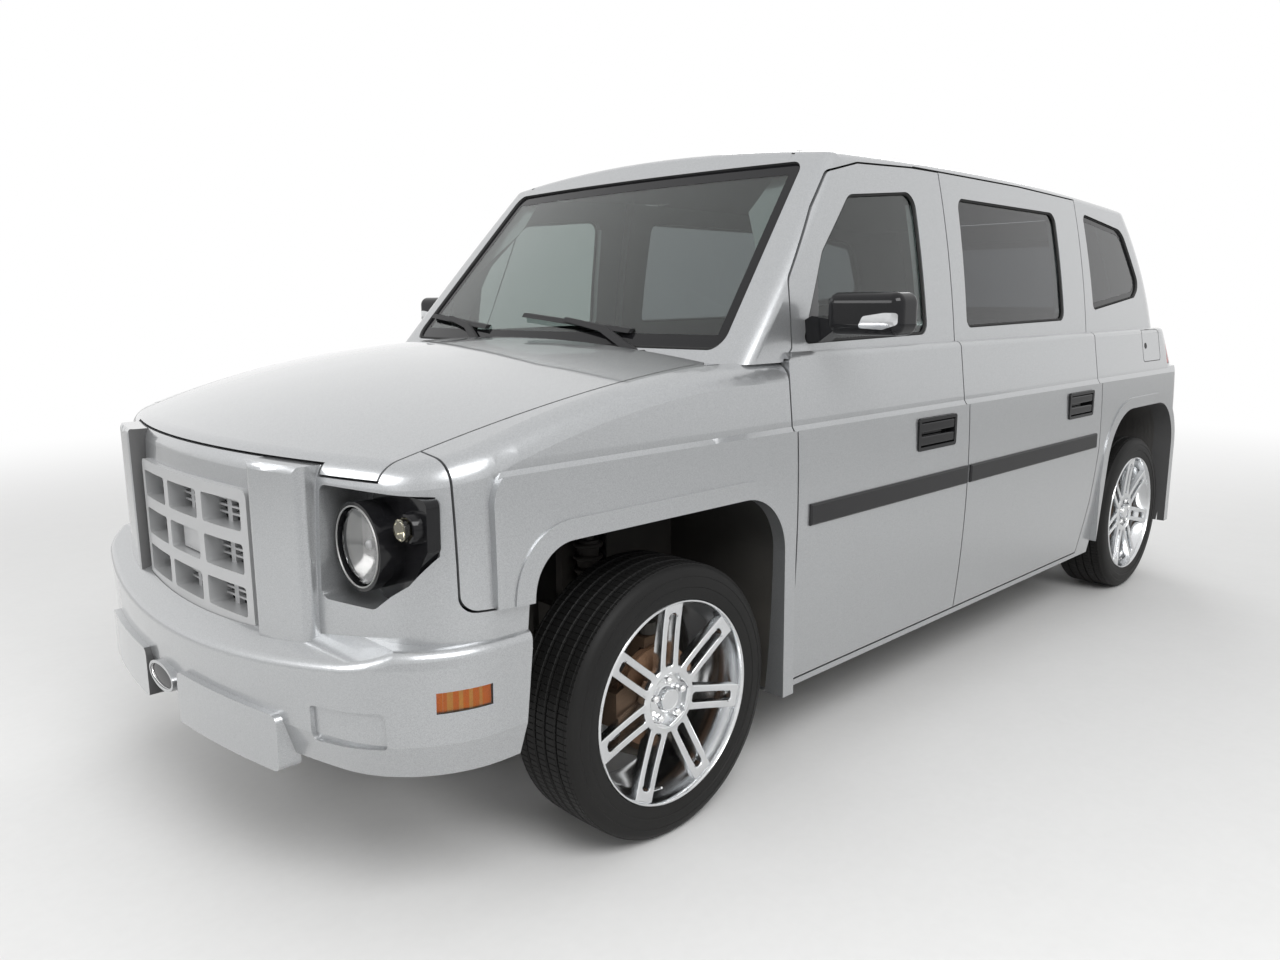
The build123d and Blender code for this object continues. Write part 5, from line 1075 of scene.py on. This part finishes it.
def pad(name, size, seams, base, lean, flat_low=True):
    """A crowned pad. size is its X, Y and Z; seams are rows of axis, place, depth and width."""
    bm = bmesh.new()
    bmesh.ops.create_cube(bm, size=1.0)
    stretch(bm, [extent - SWELL_ROOM for extent in size])
    round_edges(bm, bm.edges[:], min(size) * PAD_ROUND, 5)
    made = as_object(name, bm, "seat_cloth", 180)
    even = voxel_mesh(made, VOXEL)
    made.data = even
    even.materials.clear()
    even.materials.append(FINISH["seat_cloth"])
    inflate(made, SWELL_LIMIT)
    bm = bmesh.new()
    bm.from_mesh(made.data)
    bm.normal_update()
    for v in bm.verts:
        for axis, place, depth, spread in seams:
            away = (v.co[axis] - place) / spread
            v.co -= v.normal * depth * exp(-away * away)
    for v in bm.verts:
        if flat_low:
            v.co.z = max(v.co.z, -size[2] / 2)
        for axis in range(3):
            v.co[axis] = max(-size[axis] / 2, min(size[axis] / 2, v.co[axis]))
    bmesh.ops.smooth_vert(bm, verts=bm.verts, factor=SMOOTHING, use_axis_x=True, use_axis_y=True,
                          use_axis_z=True)
    stand = Matrix.Translation(base) @ Matrix.Rotation(-lean, 4, "Y")
    bmesh.ops.transform(bm, matrix=stand, verts=bm.verts)
    bm.to_mesh(made.data)
    bm.free()
    made.data.polygons.foreach_set("use_smooth", [True] * len(made.data.polygons))
    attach(made, "body")
    PIECES[name] = made
    return made


# %% [markdown]
# The driver has a bucket seat on a pedestal, and the rear bench has three places. Each backrest leans
# back as its CAD solid does, so its pad is placed by the same foot point and lean.

# %% Seats in place
DRIVER_Y = 0.432
BENCH_SEAM_Y = 0.215
BACK_THICK = 0.11
BACK_CORNER = 0.040
BACK_GAP = 0.0003
HEAD_SIZE = (0.078, 0.26, 0.164)
HEAD_RISE = 0.108
HEAD_AHEAD = 0.004


def back_pad(name, foot_x, low_z, high_z, middle_y, width, lean, head_y):
    """A backrest with its headrests, leaning about its foot."""
    slope = radians(lean)
    corner = BACK_CORNER * (1 - cos(slope) - sin(slope))
    foot = Vector((foot_x - BACK_GAP - corner, 0, low_z))
    stand = Matrix.Translation(foot) @ Matrix.Rotation(-slope, 4, "Y")
    height = high_z - low_z
    if width > 1.0:
        seams = [(1, -BENCH_SEAM_Y, 0.008, 0.012), (1, BENCH_SEAM_Y, 0.008, 0.012),
                 (2, height * 0.25, 0.004, 0.01)]
    else:
        seams = [(1, -width * 0.32, 0.006, 0.012), (1, width * 0.32, 0.006, 0.012),
                 (2, height * 0.2, 0.004, 0.010), (2, -height * 0.2, 0.004, 0.010)]
    middle = stand @ Vector((-BACK_THICK / 2, middle_y, height / 2))
    made = [pad(name, (BACK_THICK, width, height), seams, middle, slope, flat_low=False)]
    for number, y in enumerate(head_y, 1):
        centre = stand @ Vector((-BACK_THICK / 2 + HEAD_AHEAD, y, height + HEAD_RISE))
        label = name + "_head_" + str(number)
        made.append(pad(label, HEAD_SIZE, [(2, -0.03, 0.003, 0.008)], centre, slope, flat_low=False))
    return made


cushions = [
    pad("driver_cushion", (0.534, 0.50, 0.129), [(1, -0.165, 0.007, 0.012), (1, 0.165, 0.007, 0.012),
                                                 (0, -0.10, 0.004, 0.010), (0, 0.10, 0.004, 0.010)],
        Vector((0.503, DRIVER_Y, 0.6252)), 0.0),
    pad("bench_cushion", (0.505, 1.28, 0.129), [(1, -BENCH_SEAM_Y, 0.008, 0.012),
                                                (1, BENCH_SEAM_Y, 0.008, 0.012), (0, 0.05, 0.004, 0.010)],
        Vector((-1.5975, 0.0, 0.7253)), 0.0),
]
backs = back_pad("driver_back", 0.236, 0.600, 1.180, DRIVER_Y, 0.47, 14, (DRIVER_Y,))
backs += back_pad("bench_back", -1.850, 0.690, 1.240, 0.0, 1.26, 12, (-0.43, 0.0, 0.43))
for made in cushions:
    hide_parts("seat_cushions")
for made in backs:
    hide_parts("seat_backs")
print("padded pieces:", len(cushions + backs))

# %% [markdown]
# ## Headlamps
# Behind each round lens are a reflector bowl and a bulb on its axis, and a metal ring holds the lens.
# The small lamp beside it sits in a black barrel. All of them are short outlines spun about the lamp's
# own axis, which points forward.

# %% Headlamp insides
# Outlines about the lamp's axis. Columns: X, radius.
BOWL = ((2318, 0.0), (2318, 16), (2324, 40), (2338, 66), (2358, 88), (2360, 88), (2341, 68), (2328, 44),
        (2322, 20), (2322, 0.0))
BULB = ((2321, 0.0), (2321, 9), (2336, 9), (2338, 12), (2350, 12), (2355, 8), (2357, 0.0))
RING = ((2385, 92.2), (2385, 95.0), (2392.5, 96.0), (2394.5, 95.2), (2394.5, 93.0), (2392, 92.2),
        (2385, 92.2))
BARREL = ((2329, 27), (2329, 38), (2346, 36), (2352, 33.5), (2353, 28), (2350, 25.6), (2329, 25.6))
# The Y and Z of the left lamps' axes.
HEADLAMP = (0.745, 0.952)
CORNER_LAMP = (0.893, 1.010)
# Columns: name, outline, axis, steps, finish, slot.
LAMP_PARTS = (
    ("lamp_bowl_", BOWL, HEADLAMP, 48, "dim_reflector", "lamp_lens"),
    ("lamp_bulb_", BULB, HEADLAMP, 24, "silver_plastic", "lamp_lens"),
    ("lamp_ring_", RING, HEADLAMP, 48, "cast_alloy", "grille_silver"),
    ("corner_barrel_", BARREL, CORNER_LAMP, 36, "gloss_black", "black_trim"),
)


def turned(outline, centre, steps):
    """Spin an outline of X and radius, in millimetres, about an axis that points forward."""
    bm = bmesh.new()
    corners = [bm.verts.new((x * MM, 0, radius * MM)) for x, radius in outline]
    edges = [bm.edges.new(pair) for pair in zip(corners, corners[1:])]
    return shift(spin_about(bm, corners + edges, (1, 0, 0), steps), centre)


for side, sign in SIDES:
    for label, outline, (y, z), steps, finish, slot in LAMP_PARTS:
        piece(label + side, turned(outline, (0, y * sign, z), steps), finish)
print("lamp parts on each side:", len(LAMP_PARTS))

# %% [markdown]
# ## Door mirrors
# The mirror glass sits in the dish at the back of its housing, and a bright indicator wraps round the
# housing's lower outer corner. The glass is a bevelled plate, and the indicator is draped on the shell.

# %% Mirrors
MIRROR_ROUND = 0.0018
# The two corners of the left mirror's glass.
MIRROR_GLASS = ((0.8405, 1.018, 1.414), (0.845, 1.238, 1.504))
# The indicator seen from the front. Columns: Y, Z, corner radius.
INDICATOR = ((1118, 1418, 8), (1135, 1452, 14), (1205, 1462, 10), (1246, 1462, 8), (1246, 1428, 10),
             (1200, 1414, 10))

for side, sign in SIDES:
    body = side + "_front_door"
    pane = flip_side(plate(*MIRROR_GLASS, MIRROR_ROUND), sign)
    piece("mirror_glass_" + side, pane, "chrome", body)
    rows = [(y * sign, z, r) for y, z, r in INDICATOR]
    lens = laid(rows, "front", surface_of("door_mirror_" + side), (-1, 0, 0), 0.1, 1.4, 12)
    piece("mirror_indicator_" + side, lens, "polished_alloy", body)
print("mirrors finished:", len(SIDES))

# %% [markdown]
# ## Sails, flap and roof strips
# A grey sail fills the front corner of each front window. The fuel flap shows only as a dark seam with
# a small lock, and a rubber strip covers the joint between the roof skin and each side. All of them
# are flat outlines draped on the panel that carries them.

# %% Sails, fuel flap and roof strips
# Columns: X, Z, corner radius.
SAIL = ((961, 1371, 5), (850, 1600, 6), (858, 1480, 30), (868, 1373, 6))
FUEL_FLAP = ((-2190, 1179, 20), (-2190, 1343, 20), (-1938, 1343, 20), (-1938, 1179, 20))
FLAP_LOCK = ((-1968, 1246, 14), (-1968, 1276, 14), (-1998, 1276, 14), (-1998, 1246, 14))
# Columns: X, Y, corner radius.
ROOF_STRIP = ((-2085, 684, 0), (-2085, 696, 0), (745, 696, 0), (745, 684, 0))


body_side = surface_of("side_frames")
roof_top = surface_of("roof_panel", "side_frames")
for side, sign in SIDES:
    pane = surface_of("front_door_glass_" + side)
    piece("window_sail_" + side, laid(SAIL, "side", pane, (0, -sign, 0), 0.6, 2.0), "sail_grey",
          side + "_front_door")
    strip = [(x, y * sign, r) for x, y, r in ROOF_STRIP]
    piece("roof_strip_" + side, laid(strip, "top", roof_top, (0, 0, -1), 0.2, 2.2, 30), "rubber_seal")
seam = cut_grid(shrink(rounded_face(FUEL_FLAP, "side"), 3.5, keep_band=True), 25)
piece("fuel_flap_seam", drape(seam, body_side, (0, -1, 0), 0.05, 0.3), "rubber_seal")
piece("fuel_flap_lock", laid(FLAP_LOCK, "side", body_side, (0, -1, 0), 0.1, 1.2, 10), "satin_black")
print("roof strips are", ROOF_STRIP[2][0] - ROOF_STRIP[0][0], "mm long")

# %% [markdown]
# ## The bare oval in the bumper
# A chrome ring frames a plain gloss black face in the middle of the bumper. The ring is a round bar bent
# along an ellipse, and the face is a flattened ball, so that it is gently domed.

# %% Bumper oval
OVAL_Z = 0.493
OVAL_HALF = (0.0845, 0.0345)
OVAL_X = 2.5995
OVAL_STEPS = 64
OVAL_BAR = 4.5
DOME_DEPTH = 0.003
DOME_MARGIN = 0.002
DOME_SINK = 0.0005
ring = []
for step in range(OVAL_STEPS):
    angle = 2 * pi * step / OVAL_STEPS
    ring.append(Vector((OVAL_X, OVAL_HALF[0] * cos(angle), OVAL_Z + OVAL_HALF[1] * sin(angle))))
piece("oval_ring", tube(ring, OVAL_BAR, resolution=4), "chrome")
dome_half = (DOME_DEPTH, OVAL_HALF[0] - DOME_MARGIN, OVAL_HALF[1] - DOME_MARGIN)
piece("oval_face", ball(dome_half, (OVAL_X - DOME_SINK, 0, OVAL_Z), 48), "gloss_black")
print("oval ring half sizes", OVAL_HALF)

# %% [markdown]
# ## The tailgate's fittings
# The tailgate carries a blank number plate in a black frame, a pull handle above it and a lamp bar over
# the window. Each tail lamp has a clear reversing section under its red one. They are draped plates from
# one table. The tail pipe is a hollow turned tip, placed by the end of the CAD pipe.

# %% Rear fittings
# Rear plates. Columns: name, half width, middle Z, half height, corner radius, lift, thickness, finish.
REAR_PLATES = (
    ("plate_frame", 164, 905, 86, 14, 0.1, 5.0, "satin_black"),
    ("number_plate", 152, 905, 76, 10, 5.2, 1.6, "blank_plate"),
    ("tailgate_pull", 118, 1030, 17, 15, 0.1, 20.0, "gloss_black"),
    ("high_lamp", 150, 1888, 11, 9, 0.1, 7.0, "red_lens"),
)
# The reversing lens, on the left lamp seen from behind. Columns: Y, Z, corner radius.
REVERSE_LENS = ((772, 1172, 10), (772, 1214, 10), (898, 1214, 10), (898, 1172, 10))
SCREW_HALF = (0.00325, 0.0065, 0.0065)
SCREW_PLACES = [(y, z) for y in (-0.089, 0.089) for z in (0.848, 0.962)]
SCREW_STAND = 0.0072
tail_surface = surface_of("tailgate")
for label, half, middle, tall, radius, lift, thick, finish in REAR_PLATES:
    rows = four_corners(0, middle, half, tall, radius)
    made = laid(rows, "front", tail_surface, (1, 0, 0), lift, thick, 60)
    piece(label, made, finish, "tailgate")
screws = []
for y, z in SCREW_PLACES:
    hit = tail_surface.ray_cast(Vector((-5, y, z)), Vector((1, 0, 0)))[0]
    screws.append(ball(SCREW_HALF, (hit.x - SCREW_STAND, y, z)))
piece("plate_screws", joined(*screws), "bare_steel", "tailgate")
lamp_surface = surface_of("tail_lamps")
for side, sign in SIDES:
    rows = [(y * sign, z, r) for y, z, r in REVERSE_LENS]
    piece("reverse_lens_" + side, laid(rows, "front", lamp_surface, (1, 0, 0), 0.1, 1.6, 20), "lamp_lens")
pipe_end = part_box("exhaust")[0].x + 0.002
pipe = [v.co.copy() for v in NODES["exhaust"].data.vertices if v.co.x < pipe_end]
pipe_centre = sum(pipe, Vector()) / len(pipe)
pipe_radius = max((v - pipe_centre).length for v in pipe) / MM
tip_x = pipe_centre.x / MM
TAIL_TIP = ((tip_x - 22, pipe_radius + 1), (tip_x - 24, pipe_radius + 3), (tip_x - 22, pipe_radius + 5),
            (tip_x + 90, pipe_radius + 3.5), (tip_x + 90, pipe_radius + 0.5), (tip_x - 1, pipe_radius + 0.5),
            (tip_x - 22, pipe_radius + 1))
tip_place = Vector((0, pipe_centre.y, pipe_centre.z))
piece("tail_tip", turned(TAIL_TIP, tip_place, 40), "polished_alloy")
# A black disc over the end of the CAD pipe: soot, and painted shade of the open pipe's hollow.
PIPE_SOOT_AND_SHADE = ((tip_x - 0.3, 0), (tip_x - 0.3, pipe_radius - 2), (tip_x - 1.2, pipe_radius - 2.5), (tip_x - 1.2, 0))
piece("tail_soot_and_shade", turned(PIPE_SOOT_AND_SHADE, tip_place, 40), "rubber_seal")
print("pipe radius", round(pipe_radius, 1), "mm at", [round(n, 3) for n in pipe_centre])

# %% [markdown]
# ## Door cards
# Inside, each door has a moulded card with an armrest and a round speaker grille. The card is draped
# on the door's inner face from within the cabin, and the rest stands on it.

# %% Door cards
# Cards. Columns: door, front X, rear X, low Z, high Z, speaker X, speaker Z.
CARDS = (("front_door", 968, 60, 372, 1296, 800, 560), ("rear_door", -90, -1020, 372, 1296, -250, 560))
ARMREST = (0.065, 0.052)
ARMREST_Z = 0.930
SPEAKER_RADIUS = 85.0
SPEAKER_RINGS = 6
for label, front_x, rear_x, low_z, high_z, speaker_x, speaker_z in CARDS:
    for side, sign in SIDES:
        body = side + "_" + label
        inner = surface_of(label + "_" + side)
        card = ((front_x, low_z, 50), (front_x, high_z, 30), (rear_x, high_z, 30), (rear_x, low_z, 50))
        made = laid(card, "side", inner, (0, sign, 0), 0.3, 7.0, 60)
        piece("card_" + body, made, "cabin_trim", body)
        middle = Vector(((front_x + rear_x) / 2 * MM, 0, ARMREST_Z))
        face_y = inner.ray_cast(middle, Vector((0, sign, 0)))[0].y
        depth, tall = ARMREST
        length = (front_x - rear_x) * MM * 0.31
        near = abs(face_y) - 0.008
        rest = plate((middle.x - length, near - depth, ARMREST_Z - tall / 2),
                     (middle.x + length, near + 0.002, ARMREST_Z + tall / 2), 0.018, 4)
        piece("armrest_" + body, flip_side(rest, sign), "cabin_plastic", body)
        hit = inner.ray_cast(Vector((speaker_x * MM, 0, speaker_z * MM)), Vector((0, sign, 0)))[0]
        rings = []
        for count in range(SPEAKER_RINGS):
            radius = SPEAKER_RADIUS * (1 - count / (SPEAKER_RINGS + 0.5))
            half = 3.0 if count == 0 else 1.8
            low, high = radius - half, radius + half
            rings.append(spun(((low, 7), (low, 10), (high, 10), (high, 7)), 40))
        speaker = shift(stretch(joined(*rings), (1, -sign, 1)), hit)
        piece("speaker_" + body, speaker, "satin_black", body)
print("door cards:", 2 * len(CARDS))

# %% [markdown]
# ## Dashboard
# Vents with slats, a plain instrument face, a dark blank screen, a glove lid and a row of knobs. The
# flat pieces are draped on the dashboard from the cabin side, and the slats are thin bars on the vents.

# %% Dashboard fittings
dash = surface_of("dashboard")
# Columns: name, Y, Z, half width, half height, finish.
DASH_FACES = (
    ("vent_outer_left", 735, 1128, 58, 34, "satin_black"),
    ("vent_outer_right", -735, 1128, 58, 34, "satin_black"),
    ("vent_middle_left", 78, 1150, 62, 30, "satin_black"),
    ("vent_middle_right", -78, 1150, 62, 30, "satin_black"),
    ("blank_screen", 0, 1050, 98, 58, "gloss_black"),
    ("dial_face", 432, 1165, 140, 52, "gloss_black"),
    ("glove_lid", -470, 960, 190, 90, "cabin_trim"),
)
SLAT_ROWS = 5
KNOB = ((0, 0), (0, 21), (-12, 20), (-20, 18), (-22, 15), (-22, 0))
KNOB_STEP = 0.075
KNOB_Z = 0.930
for label, y, z, wide, tall, finish in DASH_FACES:
    rows = four_corners(y, z, wide, tall, 12)
    piece(label, laid(rows, "front", dash, (1, 0, 0), 0.1, 3.0, 50), finish)
slats = []
for label, y, z, wide, tall, _ in DASH_FACES[:4]:
    for row in range(SLAT_ROWS):
        height = (z + tall * (row - 2) / 2.7) * MM
        front = dash.ray_cast(Vector((-1, y * MM, height)), Vector((1, 0, 0)))[0].x
        slats.append(plate((front - 0.008, (y - wide * 0.86) * MM, height - 0.002),
                           (front - 0.002, (y + wide * 0.86) * MM, height + 0.002), 0.001, 2))
piece("vent_slats", joined(*slats), "cabin_plastic")
knobs = []
for y in (-KNOB_STEP, 0.0, KNOB_STEP):
    hit = dash.ray_cast(Vector((-1, y, KNOB_Z)), Vector((1, 0, 0)))[0]
    knobs.append(turned(KNOB, Vector((hit.x, y, KNOB_Z)), 32))
piece("heater_knobs", joined(*knobs), "satin_black")
print("dashboard fittings:", len(DASH_FACES) + 2)

# %% [markdown]
# ## The stage
# A plain pale floor, and soft light from large area lamps and an even sky. The sky that the camera and
# polished surfaces see is white, while the sky that lights the object is softer.

# %% Floor, lamps and sky
FLOOR_HALF = 40.0
FLOOR_Z = -0.0008
NEAR_FLOOR = 3.2
FAR_FLOOR = 10.0
SKY_LIGHT = 0.62
WHITE = (1, 1, 1, 1)


def fading_floor():
    """A pale floor that turns into the white of the sky far from the vehicle."""
    made = grained("studio_floor", (0.70, 0.70, 0.695), (0.76, 0.76, 0.755), (0.6, 0.7), 30, 0.0002)
    tree = made.node_tree
    place = object_place(tree)[0]
    distance = add(tree, "ShaderNodeVectorMath", {0: place}, operation="LENGTH").outputs["Value"]
    far = add(tree, "ShaderNodeMapRange", {0: distance, 1: NEAR_FLOOR, 2: FAR_FLOOR},
              interpolation_type="SMOOTHSTEP")
    camera_ray = add(tree, "ShaderNodeLightPath").outputs["Is Camera Ray"]
    fade = maths(tree, "MULTIPLY", far.outputs[0], camera_ray)
    glow = add(tree, "ShaderNodeEmission", {"Color": WHITE, "Strength": 1.0}).outputs[0]
    lit = tree.nodes["Principled BSDF"].outputs[0]
    both = add(tree, "ShaderNodeMixShader", {0: fade, 1: lit, 2: glow}).outputs[0]
    tree.links.new(both, tree.nodes["Material Output"].inputs["Surface"])
    return made


FINISH["studio_floor"] = fading_floor()
floor_mesh = bmesh.new()
bmesh.ops.create_grid(floor_mesh, x_segments=2, y_segments=2, size=FLOOR_HALF)
floor = as_object("studio_floor", shift(floor_mesh, (0, 0, FLOOR_Z)), "studio_floor")


def soft_lamp(name, place, target, size, power):
    """An area lamp that points at a place."""
    light = bpy.data.lights.new(name, "AREA")
    light.shape = "RECTANGLE"
    light.size, light.size_y = size
    light.energy = power
    holder = bpy.data.objects.new(name, light)
    holder.location = place
    direction = Vector(target) - Vector(place)
    holder.rotation_euler = direction.to_track_quat("-Z", "Y").to_euler()
    bpy.context.scene.collection.objects.link(holder)


soft_lamp("key_lamp", (3.2, 5.2, 5.4), (0, 0, 0.8), (4.5, 3.0), 330)
soft_lamp("front_lamp", (7.0, -1.6, 3.6), (1.5, 0, 0.8), (3.5, 2.5), 130)
soft_lamp("rear_lamp", (-6.5, -3.5, 4.5), (-1.0, 0, 0.9), (4.0, 3.0), 170)

world = bpy.data.worlds.new("studio_sky")
bpy.context.scene.world = world
world.use_nodes = True
sky = world.node_tree
sky.nodes.clear()
path = add(sky, "ShaderNodeLightPath").outputs
seen = maths(sky, "MAXIMUM", path["Is Camera Ray"], maths(sky, "MAXIMUM", path["Is Glossy Ray"],
                                                         path["Is Transmission Ray"]))
lighting = add(sky, "ShaderNodeBackground", {"Color": WHITE, "Strength": SKY_LIGHT}).outputs[0]
white = add(sky, "ShaderNodeBackground", {"Color": WHITE, "Strength": 1.0}).outputs[0]
either = add(sky, "ShaderNodeMixShader", {0: seen, 1: lighting, 2: white}).outputs[0]
add(sky, "ShaderNodeOutputWorld", {"Surface": either})
bpy.context.scene.view_settings.view_transform = "Standard"
print("lamps: 3, sky strength", SKY_LIGHT)

# %% [markdown]
# ## Sizes and the end
# The number of pieces, their triangles in all and the most in any one piece are printed, so that a
# piece with too many faces shows at once.

# %% Finish
triangles = {}
for name, made in PIECES.items():
    triangles[name] = sum(len(p.vertices) - 2 for p in made.data.polygons)
print("pieces:", len(triangles), "triangles:", sum(triangles.values()), "most:", max(triangles.values()))
